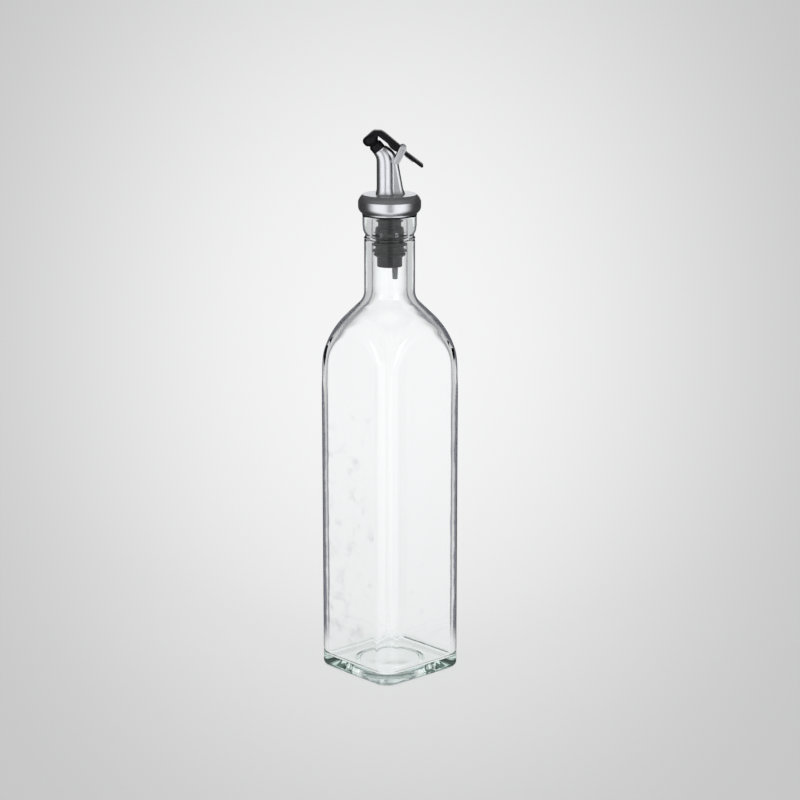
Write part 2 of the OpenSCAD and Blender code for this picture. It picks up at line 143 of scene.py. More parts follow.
class PourerSizes(bpy.types.PropertyGroup):
    tube_at: millimetres("Tube place", 2.5, "Distance of the upright tube from the axis")
    tube: millimetres("Tube radius", 4.6, "Radius of the upright tube")
    mouth_at: millimetres("Mouth place", 5.65, "Distance of the mouth from the bottle's axis")
    mouth_drop: millimetres("Mouth below the pin", 0.7, "Height of the pin above the mouth's middle")
    mouth_tilt: degrees("Mouth tilt", 50, "Slope of the mouth's axis above level")
    mouth: millimetres("Mouth radius", 3.9, "Outer radius of the mouth")
    rib: millimetres("Rib", 2.1, "Half thickness of the rib behind the tube")
    nozzle: millimetres("Nozzle radius", 3.75, "Outer radius of the nozzle")
    nozzle_length: millimetres("Nozzle length", 4.3, "Length of nozzle that stands out of the mouth")
    pouring_hole: millimetres("Pouring hole", 1.9, "Radius of the pouring hole")


class LeverSizes(bpy.types.PropertyGroup):
    pin: millimetres("Pin radius", 0.6, "Radius of the hinge pin")
    half_width: millimetres("Half width", 3.5, "Half width of the lever's arm")
    arm: millimetres("Arm thickness", 3.5, "Thickness of the lever's arm")
    thumb_length: millimetres("Thumb plate", 15, "Length of the thumb plate from the pin")
    thumb_half: millimetres("Thumb half width", 4.5, "Half width of the thumb plate")
    cap: millimetres("Cap radius", 4.45, "Radius of the cap over the nozzle")
    cap_height: millimetres("Cap height", 5.3, "Height of the cap along the mouth's axis")
    wire: millimetres("Spring wire", 0.3, "Wire radius of the return spring")
    edge: millimetres("Moulded edge", 0.45, "Rounding along the lever's moulded edges")


class Finishes(bpy.types.PropertyGroup):
    glass: tint("Glass", (0.998, 1.0, 1.0), "Colour of the glass seen square on")
    # Painted shade: the dark colour the glass takes at grazing angles, standing in for dark surroundings seen
    # through the glass's edges
    glass_edge_painted_shade: tint("Glass edge", (0.075, 0.073, 0.10), "Colour of the glass seen along its wall")
    glass_depth: tint("Glass depth", (0.78, 0.93, 0.89), "Colour that thick glass takes on")
    # Painted glow: faint green light emitted by the thick foot of the glass
    glass_foot_painted_glow: tint("Glass foot", (0.026, 0.035, 0.031), "Light that the thick foot gathers")
    metal: tint("Satin metal", (0.74, 0.745, 0.76), "Colour of the satin plated metal")
    black: tint("Black plastic", (0.0045, 0.0045, 0.0055), "Colour of the black moulded plastic")
    rubber: tint("Black rubber", (0.005, 0.0052, 0.006), "Colour of the stopper's rubber")
    grey: tint("Grey plastic", (0.27, 0.29, 0.28), "Colour of the air tube")
    steel: tint("Spring steel", (0.62, 0.62, 0.66), "Colour of the spring and the pin")


class StudioSizes(bpy.types.PropertyGroup):
    distance: FloatProperty(name="Camera distance", description="Level distance of the camera from the axis",
                            default=1.268, unit="LENGTH")
    height: FloatProperty(name="Camera height", description="Height of the camera above the base",
                          default=0.456, unit="LENGTH")
    azimuth: degrees("Camera azimuth", 48, "Direction of the camera round the bottle")
    pitch: degrees("Camera pitch", 13.27, "Angle by which the camera looks down")
    yaw: degrees("Camera yaw", 0.26, "Angle by which the camera looks past the axis")
    lens: FloatProperty(name="Lens", description="Focal length on a 36 mm sensor", default=104.1,
                        unit="CAMERA")
    backdrop: tint("Backdrop", (0.54, 0.54, 0.545), "Colour of the backdrop far from its middle")
    glow: tint("Glow", (0.92, 0.92, 0.925), "Colour of the backdrop's bright middle")


# ---------------------------------------------------------------- curves and surfaces


def unit(v):
    """Each vector divided by its own length."""
    return v / np.maximum(np.linalg.norm(v, axis=-1, keepdims=True), 1e-12)


def arc(centre, radius, start, end, steps=12):
    """Points on a circle: the centre plus the radius times (cos, sin) of angles spread evenly, in degrees."""
    a = np.radians(np.linspace(start, end, steps + 1))
    return np.asarray(centre) + radius * np.stack([np.cos(a), np.sin(a)], 1)


def rounded(corners, steps=5, closed=False):
    """A polyline of (x, y, radius in millimetres) rows with an arc at each corner.

    The arc touches both sides at radius / tan(half the corner's angle) from the corner, or nearer
    where a side is short, and its points turn evenly between the two touching points.
    """
    c = np.asarray(corners, float)
    p, radius = c[:, :2], c[:, 2] * MM
    before, after = np.roll(p, 1, 0), np.roll(p, -1, 0)
    if not closed:
        before[0], after[-1] = 2 * p[0] - p[1], 2 * p[-1] - p[-2]
        radius[[0, -1]] = 0
    a, b = unit(before - p), unit(after - p)
    half = np.arccos(np.clip((a * b).sum(1), -1, 1)) / 2
    room = 0.49 * np.minimum(np.linalg.norm(before - p, axis=1), np.linalg.norm(after - p, axis=1))
    cut = np.minimum(radius / np.maximum(np.tan(half), 1e-9), room)
    sharp = (cut < 1e-9) | (half > math.radians(89.5))
    cut = np.where(sharp, 0, cut)
    centre = p + unit(a + b + 1e-15) * (cut / np.maximum(np.cos(half), 1e-9))[:, None]
    first, last = p + a * cut[:, None] - centre, p + b * cut[:, None] - centre
    turn = np.maximum(math.pi - 2 * half, 1e-9)[:, None, None]
    f = np.linspace(0, 1, steps + 1)[None, :, None]
    swung = (np.sin((1 - f) * turn) * first[:, None] + np.sin(f * turn) * last[:, None]) / np.sin(turn)
    points = np.where(sharp[:, None, None], p[:, None], centre[:, None] + swung).reshape(-1, 2)
    keep = np.ones(len(points), bool)
    keep[1:] = np.linalg.norm(np.diff(points, axis=0), axis=1) > 1e-8
    return points[keep]


def refine(path, step):
    """The same polyline with every side longer than step cut into equal shorter ones."""
    side = np.diff(path, axis=0)
    count = np.maximum(1, np.ceil(np.linalg.norm(side, axis=1) / step)).astype(int)
    which = np.repeat(np.arange(len(side)), count)
    place = np.arange(count.sum()) - np.repeat(np.cumsum(count) - count, count)
    return np.concatenate([path[which] + side[which] * (place / count[which])[:, None], path[-1:]])


def turning(profile, columns=96):
    """A profile of (radius, height) points carried round the Z axis: (r cos t, r sin t, z)."""
    t = np.linspace(0, 2 * math.pi, columns, endpoint=False)[None]
    r, z = profile[:, :1], profile[:, 1:]
    return np.stack([r * np.cos(t), r * np.sin(t), z + 0 * t], -1)


def slab(outline, low, high, edge, steps=5):
    """An outline in the lever's plane carried along Y from low to high.

    Near both faces the outline is drawn in along its normals by edge * (1 - cos a) while Y moves by
    edge * sin a, which rounds the long edges. The normal at a point is the mean of its two sides'.
    """
    side = unit(np.roll(outline, -1, 0) - outline)
    normal = np.stack([side[:, 1], -side[:, 0]], 1)
    normal = unit(normal + np.roll(normal, 1, 0))
    turn = np.sum(outline[:, 0] * np.roll(outline[:, 1], -1) - outline[:, 1] * np.roll(outline[:, 0], -1))
    a = np.linspace(0, math.pi / 2, steps + 1)
    draw = np.concatenate([edge * (1 - np.sin(a)), edge * (1 - np.cos(a))])
    y = np.concatenate([low + edge * (1 - np.cos(a)), high - edge * (1 - np.sin(a))])
    if edge == 0:
        draw, y = np.zeros(2), np.array([low, high])
    ring = outline[None] - np.sign(turn) * normal[None] * draw[:, None, None]
    return np.stack([ring[..., 0], np.broadcast_to(y[:, None], ring.shape[:2]), ring[..., 1]], -1)


def carried(section, path, across=(0, 1, 0)):
    """A section of (u, v) points carried along a path of 3-D points.

    The direction at a point runs from the one before to the one after; u runs along the direction
    crossed with across, and v along the direction crossed with u.
    """
    ahead = np.concatenate([path[1:], path[-1:]]) - np.concatenate([path[:1], path[:-1]])
    ahead = unit(ahead)
    u = unit(np.cross(ahead, np.asarray(across, float)))
    v = np.cross(ahead, u)
    return path[:, None] + section[None, :, :1] * u[:, None] + section[None, :, 1:] * v[:, None]


def rod(radius, start, end, sides=64):
    """A round bar between two points, as a circle carried along a straight path."""
    circle = arc((0, 0), radius, 0, 360, sides)[:-1]
    across = (0, 1, 0) if abs(start[1] - end[1]) < 1e-9 else (1, 0, 0)
    return carried(circle, np.array([start, end], float), across)


def bar(radius, start, end, sides=64):
    """A round bar as a closed mesh."""
    return skin(rod(radius, start, end, sides))


def cutters(*meshes):
    """The meshes as cuts for combined."""
    return [("DIFFERENCE", mesh) for mesh in meshes]


def about_axis(points, angle):
    """Points turned about the Z axis by an angle."""
    c, s = math.cos(angle), math.sin(angle)
    return points @ np.array([[c, s, 0], [-s, c, 0], [0, 0, 1]])


def moulded(outline, step, half, edge):
    """A plate of the lever as a closed mesh, with the outline cut into sides no longer than step."""
    return skin(slab(refine(np.vstack([outline, outline[:1]]), step)[:-1], -half, half, edge))


def turn_mesh(mesh):
    """Turns a mesh of the pourer's own frame to the pourer's place round the bottle's axis."""
    points = np.empty(len(mesh.vertices) * 3)
    mesh.vertices.foreach_get("co", points)
    mesh.vertices.foreach_set("co", about_axis(points.reshape(-1, 3), POURER_TURN).ravel())
    mesh.update()


def skin(grid, loop=False):
    """A closed mesh over a grid of points (rows, columns, 3).

    Each row closes on itself. With loop the last row joins the first; otherwise each end is closed
    by one face, or by a point where the row has shrunk to nothing. Faces are turned outwards.
    """
    rows, columns = grid.shape[:2]
    index = np.arange(rows * columns).reshape(rows, columns)
    upper = np.roll(index, -1, 0) if loop else index[1:]
    lower = index if loop else index[:-1]
    faces = np.stack([lower, np.roll(lower, -1, 1), np.roll(upper, -1, 1), upper], -1)
    faces = faces.reshape(-1, 4).tolist()
    if not loop:
        faces += [index[0].tolist(), index[-1].tolist()]
    mesh = bpy.data.meshes.new("skin")
    mesh.from_pydata(grid.reshape(-1, 3).tolist(), [], faces)
    work = bmesh.new()
    work.from_mesh(mesh)
    bmesh.ops.remove_doubles(work, verts=work.verts, dist=1e-7)
    bmesh.ops.dissolve_degenerate(work, edges=work.edges, dist=1e-8)
    bmesh.ops.recalc_face_normals(work, faces=work.faces)
    work.to_mesh(mesh)
    work.free()
    return mesh


def combined(base, tools):
    """The base mesh with each (operation, mesh) of tools applied to it as an exact boolean."""
    holder = bpy.data.objects.new("holder", base)
    bpy.context.scene.collection.objects.link(holder)
    helpers = []
    for operation, mesh in tools:
        helper = bpy.data.objects.new("helper", mesh)
        bpy.context.scene.collection.objects.link(helper)
        helpers.append(helper)
        step = holder.modifiers.new(operation, "BOOLEAN")
        step.operation = operation
        step.solver = "EXACT"
        step.object = helper
    bpy.context.view_layer.update()
    depsgraph = bpy.context.evaluated_depsgraph_get()
    made = bpy.data.meshes.new_from_object(holder.evaluated_get(depsgraph))
    for extra in [holder, *helpers]:
        bpy.data.objects.remove(extra)
    work = bmesh.new()
    work.from_mesh(made)
    bmesh.ops.remove_doubles(work, verts=work.verts, dist=1e-6)
    bmesh.ops.dissolve_degenerate(work, edges=work.edges, dist=1e-7)
    work.to_mesh(made)
    work.free()
    return made


def add_piece(name, mesh, body, node, slot, crease=35):
    """Puts a mesh into the scene as a named piece that stands for a CAD node and rides on its body."""
    if not mesh.polygons:
        raise RuntimeError(f"{name} came out empty")
    mesh.name = name
    mesh.materials.clear()
    mesh.materials.append(finish_of(slot))
    mesh.polygons.foreach_set("material_index", np.zeros(len(mesh.polygons), np.int32))
    mesh.polygons.foreach_set("use_smooth", np.ones(len(mesh.polygons), bool))
    mesh.set_sharp_from_angle(angle=math.radians(crease))
    piece = bpy.data.objects.new(name, mesh)
    bpy.context.scene.collection.objects.link(piece)
    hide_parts(node)
    if body:
        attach(piece, body)
    return piece


# ---------------------------------------------------------------- shader recipes


class Term:
    """A node's output that can stand in a sum: + - and * add Math nodes to its recipe."""

    def __init__(self, recipe, socket):
        self.recipe, self.socket = recipe, socket

    def _with(self, operation, first, second):
        return self.recipe.node("Math", {"operation": operation}, {0: first, 1: second})

    def __add__(self, other):
        return self._with("ADD", self, other)

    def __sub__(self, other):
        return self._with("SUBTRACT", self, other)

    def __rsub__(self, other):
        return self._with("SUBTRACT", other, self)

    def __mul__(self, other):
        return self._with("MULTIPLY", self, other)

    __radd__, __rmul__ = __add__, __mul__


class Recipe:
    """One node tree, built up from named steps."""

    def __init__(self, tree):
        self.tree = tree
        tree.nodes.clear()

    def node(self, kind, settings=None, sockets=None, out=0):
        """Adds a shader node: its settings first, then the values or links of its sockets."""
        made = self.tree.nodes.new("ShaderNode" + kind)
        for key, value in (settings or {}).items():
            setattr(made, key, value)
        for key, value in (sockets or {}).items():
            socket = made.inputs[key]
            if isinstance(value, Term):
                self.tree.links.new(value.socket, socket)
            else:
                socket.default_value = value
        return Term(self, made.outputs[out])

    def place(self):
        """The point on the piece, in metres in the frame."""
        return self.node("TexCoord", out="Object")

    def noise(self, size, detail=3.0, at=None, roughness=0.55):
        """Noise from 0 to 1 whose lumps are about size metres across."""
        settings = {"noise_dimensions": "3D"}
        sockets = {"Vector": at or self.place(), "Scale": 1 / size, "Detail": detail, "Roughness": roughness}
        return self.node("TexNoise", settings, sockets)

    def vector(self, operation, first, second, out=0):
        """A step on two vectors."""
        return self.node("VectorMath", {"operation": operation}, {0: first, 1: second}, out)

    def stretched(self, scale):
        """The point on the piece with each axis multiplied, for grain that runs one way."""
        return self.vector("MULTIPLY", self.place(), scale)

    def between(self, value, low, high):
        """0 below low, 1 above high, and a soft step from one to the other."""
        return self.node("MapRange", {"interpolation_type": "SMOOTHSTEP"},
                         {"Value": value, "From Min": low, "From Max": high, "To Min": 0.0, "To Max": 1.0})

    def mix(self, share, first, second):
        """Colour first at share 0 and second at share 1."""
        first = (*first, 1) if isinstance(first, (tuple, list)) and len(first) == 3 else first
        second = (*second, 1) if isinstance(second, (tuple, list)) and len(second) == 3 else second
        return self.node("Mix", {"data_type": "RGBA"}, {0: share, 6: first, 7: second}, out=2)

    def finish(self, kind, **ends):
        """Adds the tree's output node and links the named ends to it."""
        output = self.tree.nodes.new("ShaderNodeOutput" + kind)
        for name, term in ends.items():
            self.tree.links.new(term.socket, output.inputs[name])

    def bump(self, height, depth, strength=1.0):
        """A normal from a height of 0 to 1 over a depth in metres."""
        return self.node("Bump", {}, {"Strength": strength, "Distance": depth, "Height": height})


def shaded(name, sockets_of):
    """A material whose Principled shader takes the sockets that sockets_of(recipe, finishes) gives.

    An entry named Volume isn't a socket of that shader but the shader of the inside."""
    material = bpy.data.materials.new(name)
    material.use_nodes = True
    recipe = Recipe(material.node_tree)
    sockets = sockets_of(recipe, bpy.context.scene.oil_bottle_finishes)
    ends = {"Volume": sockets.pop("Volume")} if "Volume" in sockets else {}
    recipe.finish("Material", Surface=recipe.node("BsdfPrincipled", {}, sockets, out="BSDF"), **ends)


def scaled(colour, share):
    """A linear colour made darker or lighter."""
    return tuple(share * c for c in colour)


def clear_glass(r, looks):
    """Clear glass: painted shade where it is seen along its wall, standing in for the dark surroundings seen
    through its edges; faintly rippled; green where it is thick; and a painted green glow in its foot.
    """
    up = r.node("SeparateXYZ", {}, {0: r.place()}, out="Z")
    # Painted shade: the edge mask darkens the glass at grazing angles, less on the shoulder and not near the
    # base, standing in for dark surroundings seen through the glass
    grazing = r.node("LayerWeight", {}, {"Blend": 0.5}, out="Facing")
    wavy = grazing + (r.noise(9 * MM, 2.0) - 0.5) * 0.22
    steep = wavy - r.between(up, 150 * MM, 176 * MM) * 0.19
    edge = r.between(steep, 0.37, 0.52) * r.between(up, 11 * MM, 26 * MM)
    # Painted glow: the lowest few millimetres of the glass emit a faint green light
    foot = 1 - r.between(up, 4 * MM, 9 * MM)
    height = r.noise(14 * MM, 1.0, r.stretched((1.0, 1.0, 0.45)))
    inside = {"Color": (*looks.glass_depth, 1), "Density": 14.0}
    return {"Base Color": r.mix(edge, tuple(looks.glass), tuple(looks.glass_edge_painted_shade)),
            "Emission Color": r.mix(foot, (0.0, 0.0, 0.0), tuple(looks.glass_foot_painted_glow)),
            "Emission Strength": 1.0,
            "Normal": r.bump(height, 0.35 * MM, 0.25),
            "Roughness": 0.0, "IOR": 1.45, "Transmission Weight": 1.0,
            "Volume": r.node("VolumeAbsorption", {}, inside)}


def satin_metal(r, looks):
    """Satin plated metal: fine even grain, a slow change of sheen and faint rubbing marks."""
    slow = r.noise(6 * MM, 3.0)
    grain = r.noise(0.11 * MM, 2.0)
    rubbed = r.between(r.noise(0.5 * MM, 4.0, r.stretched((1.0, 1.0, 0.14))), 0.52, 0.7)
    return {"Base Color": r.mix(slow * 0.5 + rubbed * 0.1, tuple(looks.metal), scaled(looks.metal, 0.88)),
            "Roughness": slow * 0.06 + rubbed * 0.02 + 0.25,
            "Normal": r.bump(grain, 0.006 * MM, 0.5),
            "Metallic": 1.0}


def black_plastic(r, looks):
    """Black moulded plastic: soft gloss with a fine spark-eroded texture."""
    grain = r.noise(0.22 * MM, 3.0)
    slow = r.noise(3 * MM, 2.0)
    return {"Base Color": r.mix(slow, tuple(looks.black), scaled(looks.black, 1.9)),
            "Roughness": slow * 0.14 + grain * 0.08 + 0.24,
            "Normal": r.bump(grain, 0.012 * MM, 0.6),
            "Specular IOR Level": 0.16, "IOR": 1.5}


def black_rubber(r, looks):
    """Black rubber: dull, with a dusty bloom and mould flow lines round it."""
    bloom = r.between(r.noise(1.6 * MM, 4.0), 0.45, 0.75)
    grain = r.noise(0.15 * MM, 2.0, r.stretched((1.0, 1.0, 2.5)))
    return {"Base Color": r.mix(bloom * 0.7, tuple(looks.rubber), scaled(looks.rubber, 2.6)),
            "Roughness": bloom * 0.15 + 0.42,
            "Normal": r.bump(grain, 0.015 * MM, 0.6),
            "Specular IOR Level": 0.15, "IOR": 1.5}


def grey_plastic(r, looks):
    """Grey moulded plastic with a faint drawn grain along the tube."""
    drawn = r.noise(0.4 * MM, 3.0, r.stretched((1.0, 1.0, 0.12)))
    return {"Base Color": r.mix(drawn, tuple(looks.grey), scaled(looks.grey, 0.6)),
            "Roughness": drawn * 0.15 + 0.3,
            "Normal": r.bump(drawn, 0.02 * MM, 0.5),
            "IOR": 1.5}


def spring_steel(r, looks):
    """Bright steel wire with drawing marks."""
    marks = r.noise(0.12 * MM, 3.0)
    return {"Base Color": r.mix(marks, tuple(looks.steel), scaled(looks.steel, 0.7)),
            "Roughness": marks * 0.15 + 0.2,
            "Normal": r.bump(marks, 0.004 * MM, 0.5),
            "Metallic": 1.0}


MATERIALS = {"glass": clear_glass, "satin_metal": satin_metal, "black_plastic": black_plastic,
             "black_rubber": black_rubber, "grey_plastic": grey_plastic, "spring_wire": spring_steel}


def finish_of(slot):
    """The material of a record slot, made the first time that it is asked for."""
    name = "finish_" + slot
    if name not in bpy.data.materials:
        shaded(name, MATERIALS[slot])
    return bpy.data.materials[name]


# ---------------------------------------------------------------- the bottle


def block_radius(angle, half, corner):
    """Distance from the axis to a rounded square in a direction.

    With t the angle from the nearest flat's middle: half / cos t on the flat, and on the corner the
    far crossing with its circle, whose centre is half - corner along both flats.
    """
    t = np.abs((angle + math.pi / 4) % (math.pi / 2) - math.pi / 4)
    side = half - corner
    flat = half / np.cos(t)
    along, aside = side * (np.cos(t) + np.sin(t)), side * (np.cos(t) - np.sin(t))
    bend = along + np.sqrt(np.maximum(corner**2 - aside**2, 0))
    return np.where(half * np.tan(t) <= side, flat, bend)


def soft_min(a, b, k):
    """The smaller of two lengths, rounded over where they come within k of each other."""
    near = np.maximum(k - np.abs(a - b), 0) / k
    return np.minimum(a, b) - near**2 * k / 4


class GlassRows:
    """Rows of the bottle's skin, each a height, a rounded square, a round limit and a share of roundness."""

    def __init__(self):
        self.parts = []

    def add(self, z, half, corner, limit=1.0, roundness=0.0, circle=0.0, ripple=0.0):
        """Adds rows; numbers are spread over the rows of z."""
        columns = np.broadcast_arrays(z, half, corner, limit, roundness, circle, ripple)
        self.parts.append(np.stack(columns, 1))

    def grid(self, columns, crease, ripple_height):
        """The skin's points: at each angle the radius is the soft minimum of square and limit, then
        mixed with the circle by the roundness, and the inner wall's ripple is added. The angles
        t = u + 0.17 sin 4u crowd together at the four corners."""
        z, half, corner, limit, roundness, circle, ripple = np.concatenate(self.parts).T[:, :, None]
        t = np.linspace(0, 2 * math.pi, columns, endpoint=False)[None]
        t = t + 0.17 * np.sin(4 * t)
        radius = soft_min(block_radius(t, half, corner), limit, crease)
        radius = (1 - roundness) * radius + roundness * circle
        wave = (np.sin(95 * z + 3 * t + 0.4) + 0.8 * np.sin(61 * z - 2 * t + 2.1)
                + 0.6 * np.sin(173 * z + 5 * t + 1.0) + 0.5 * np.sin(37 * z + 7 * t))
        radius = radius + ripple * ripple_height * wave / 2.9
        return np.stack([radius * np.cos(t), radius * np.sin(t), z + 0 * t], -1)


def shoulder_path(sizes, inset, throat, blend, slope_foot):
    """(radius, height) points of the shoulder: outward arc, straight slope, inward arc to the throat."""
    lean = sizes.lean
    reach = (sizes.width / 2 - sizes.corner) * math.sqrt(2) + sizes.corner + 0.3 * MM
    centre_x, foot = reach - sizes.shoulder, slope_foot
    r = sizes.shoulder - inset
    outward = arc((centre_x, foot), r, 0, math.degrees(lean), 36)
    qx = throat + blend * (1 - math.cos(lean))
    qz = outward[-1, 1] + (outward[-1, 0] - qx) / math.tan(lean)
    centre = (throat + blend, qz + blend * math.sin(lean))
    inward = arc(centre, blend, 180 + math.degrees(lean), 180, 14)
    return refine(np.concatenate([outward, inward]), 1.2 * MM)


def bottle_grid(sizes, columns=240):
    """The whole skin of the glass, from the push-up's middle out, up, over the rim and down inside."""
    w, lean = sizes.width / 2, sizes.lean
    rim_z = BOTTLE_HIGH.z
    neck_z = rim_z - sizes.neck_length
    reach = (w - sizes.corner) * math.sqrt(2) + sizes.corner + 0.3 * MM
    slope_x = reach - sizes.shoulder * (1 - math.cos(lean))
    blend_x = sizes.neck + sizes.neck_blend * (1 - math.cos(lean))
    slope_z = neck_z - sizes.neck_blend * math.sin(lean) - (slope_x - blend_x) / math.tan(lean)
    body_z = slope_z - sizes.shoulder * math.sin(lean)
    rows = GlassRows()

    # Under the base: a round push-up with a soft edge, then flat out to the heel's inner edge.
    under = rounded([(0, sizes.punt_rise, 0), (sizes.punt - 3.6 * MM, sizes.punt_rise, 3),
                     (sizes.punt - 0.6 * MM, 0, 1.2), (w - sizes.heel, 0, 0)])
    under = refine(under, 1.6 * MM)
    round_share = np.clip((w - sizes.heel - under[:, 0]) / (w - sizes.heel - sizes.punt), 0, 1)
    rows.add(under[:, 1], w - sizes.heel, sizes.corner - sizes.heel, 1.0, round_share, under[:, 0])

    heel = np.linspace(0, math.pi / 2, 10)[1:]
    inset = sizes.heel * (1 - np.sin(heel))
    rows.add(sizes.heel * (1 - np.cos(heel)), w - inset, sizes.corner - inset)

    body = np.arange(sizes.heel + 3 * MM, body_z, 3 * MM)
    shoulder_reach = reach + np.maximum(body_z - body, 0) ** 2 / (60 * MM)
    rows.add(body, w, sizes.corner, shoulder_reach)
    shoulder = shoulder_path(sizes, 0, sizes.neck, sizes.neck_blend, body_z)
    rows.add(shoulder[:, 1], w, sizes.corner, shoulder[:, 0])

    band_z, bead_z = rim_z - 5.2 * MM, rim_z - 12.4 * MM
    undercut = sizes.rim - 1.5 * MM
    ring = rounded([
        (sizes.neck, neck_z + 0.4 * MM, 0), (sizes.neck, bead_z - 1.3 * MM, 0.6),
        (undercut + 0.1 * MM, bead_z - 0.8 * MM, 0.3),
        (undercut + 0.7 * MM, bead_z - 0.3 * MM, 0.3),
        (undercut + 0.7 * MM, bead_z + 0.3 * MM, 0.3), (undercut, bead_z + 0.8 * MM, 0.4),
        (undercut, band_z - 5.4 * MM, 1.5), (sizes.rim - 0.4 * MM, band_z - 3.1 * MM, 3),
        (sizes.rim, band_z, 2), (sizes.rim, rim_z, 0.9),
        (sizes.bore, rim_z, 0.6), (sizes.bore, rim_z - 2 * MM, 0)])
    ring = refine(ring, 1.2 * MM)
    rows.add(ring[:, 1], w, sizes.corner, ring[:, 0])

    # Inside: down the bore, out under the shoulder, down the wall and across the floor.
    inner = shoulder_path(sizes, sizes.wall, sizes.bore, sizes.neck_blend + sizes.wall, body_z)[::-1]
    bore = np.arange(rim_z - 4 * MM, inner[0, 1] + 1 * MM, -2.5 * MM)
    rows.add(bore, w, sizes.corner, sizes.bore)
    block, inner_corner = w - sizes.wall, sizes.corner - sizes.wall
    fade = np.clip((neck_z - inner[:, 1]) / (30 * MM), 0, 1)
    rows.add(inner[:, 1], block, inner_corner, inner[:, 0], ripple=fade)
    top = inner[-1]
    wall = np.arange(top[1] - 3 * MM, sizes.floor + sizes.heel + 1 * MM, -3 * MM)
    reach_in = top[0] + (top[1] - wall) ** 2 / (60 * MM)
    fade = np.clip((wall - sizes.floor) / (15 * MM), 0, 1)
    rows.add(wall, block, inner_corner, reach_in, ripple=fade)
    heel = heel[::-1]
    inset = sizes.heel * (1 - np.sin(heel))
    rows.add(sizes.floor + sizes.heel * (1 - np.cos(heel)), block - inset, inner_corner - inset)
    share = np.linspace(0, 1, 15)
    circle = (block - sizes.heel) * (1 - share)
    dish = 0.7 * MM * np.sin(share * math.pi / 2) ** 2
    rows.add(sizes.floor + dish, (block - sizes.heel) * (1 - share),
             (inner_corner - sizes.heel) * (1 - share), 1.0, np.clip(share * 1.6, 0, 1), circle)
    return rows.grid(columns, sizes.crease, sizes.ripple)


class OILBOTTLE_OT_bottle(bpy.types.Operator):
    """Builds the glass bottle as one closed skin"""

    bl_idname = "oilbottle.bottle"
    bl_label = "Glass bottle"

    def execute(self, context):
        mesh = skin(bottle_grid(context.scene.oil_bottle_glass))
        add_piece("glass_bottle", mesh, "bottle", "bottle", "glass", crease=60)
        return {"FINISHED"}


# ---------------------------------------------------------------- stopper, stem and collar


def fin_stack(sizes):
    """Heights that the sleeve and the stem share: the lowest fin and the sleeve's end."""
    low = BOTTLE_HIGH.z - 8.8 * MM - (sizes.fins - 1) * sizes.fin_pitch
    return low, low - 4.2 * MM


def stopper_profile(glass, sizes):
    """(radius, height) loop of the rubber sleeve: skirt, waist, thin fins that lean up, and a lip."""
    low, end = fin_stack(sizes)
    inside, waist = sizes.stem + 0.05 * MM, sizes.stem + 1.35 * MM
    lip, rim_z = glass.bore - 0.05 * MM, BOTTLE_HIGH.z
    fins = np.arange(sizes.fins)[:, None] * sizes.fin_pitch + low
    one = np.array([(waist, -1.15, 0.25), (lip, -0.38, 0.10), (lip, -0.02, 0.10), (waist, -0.2, 0.25)])
    one[:, 1] *= MM
    radius, rounding = (np.tile(one[:, k], (sizes.fins, 1)) for k in (0, 2))
    fin_rows = np.stack([radius, fins + one[:, 1], rounding], -1).reshape(-1, 3)
    return rounded([
        (inside, end, 0.1), (sizes.stem + 0.5 * MM, end, 0.3),
        (glass.bore - 0.65 * MM, low - 2.2 * MM, 0.5), (waist, low - 1.3 * MM, 0.2),
        *fin_rows, (waist, rim_z - 6.6 * MM, 0.4), (sizes.stem + 0.5 * MM, rim_z - 6.1 * MM, 0.2),
        (inside, rim_z - 6.1 * MM, 0.1)], closed=True)


class OILBOTTLE_OT_stopper(bpy.types.Operator):
    """Builds the finned rubber stopper that seals the neck"""

    bl_idname = "oilbottle.stopper"
    bl_label = "Finned stopper"

    def execute(self, context):
        scene = context.scene
        profile = stopper_profile(scene.oil_bottle_glass, scene.oil_bottle_stopper)
        add_piece("finned_stopper", skin(turning(profile, 128), loop=True), "plug", "stopper",
                  "black_rubber")
        return {"FINISHED"}


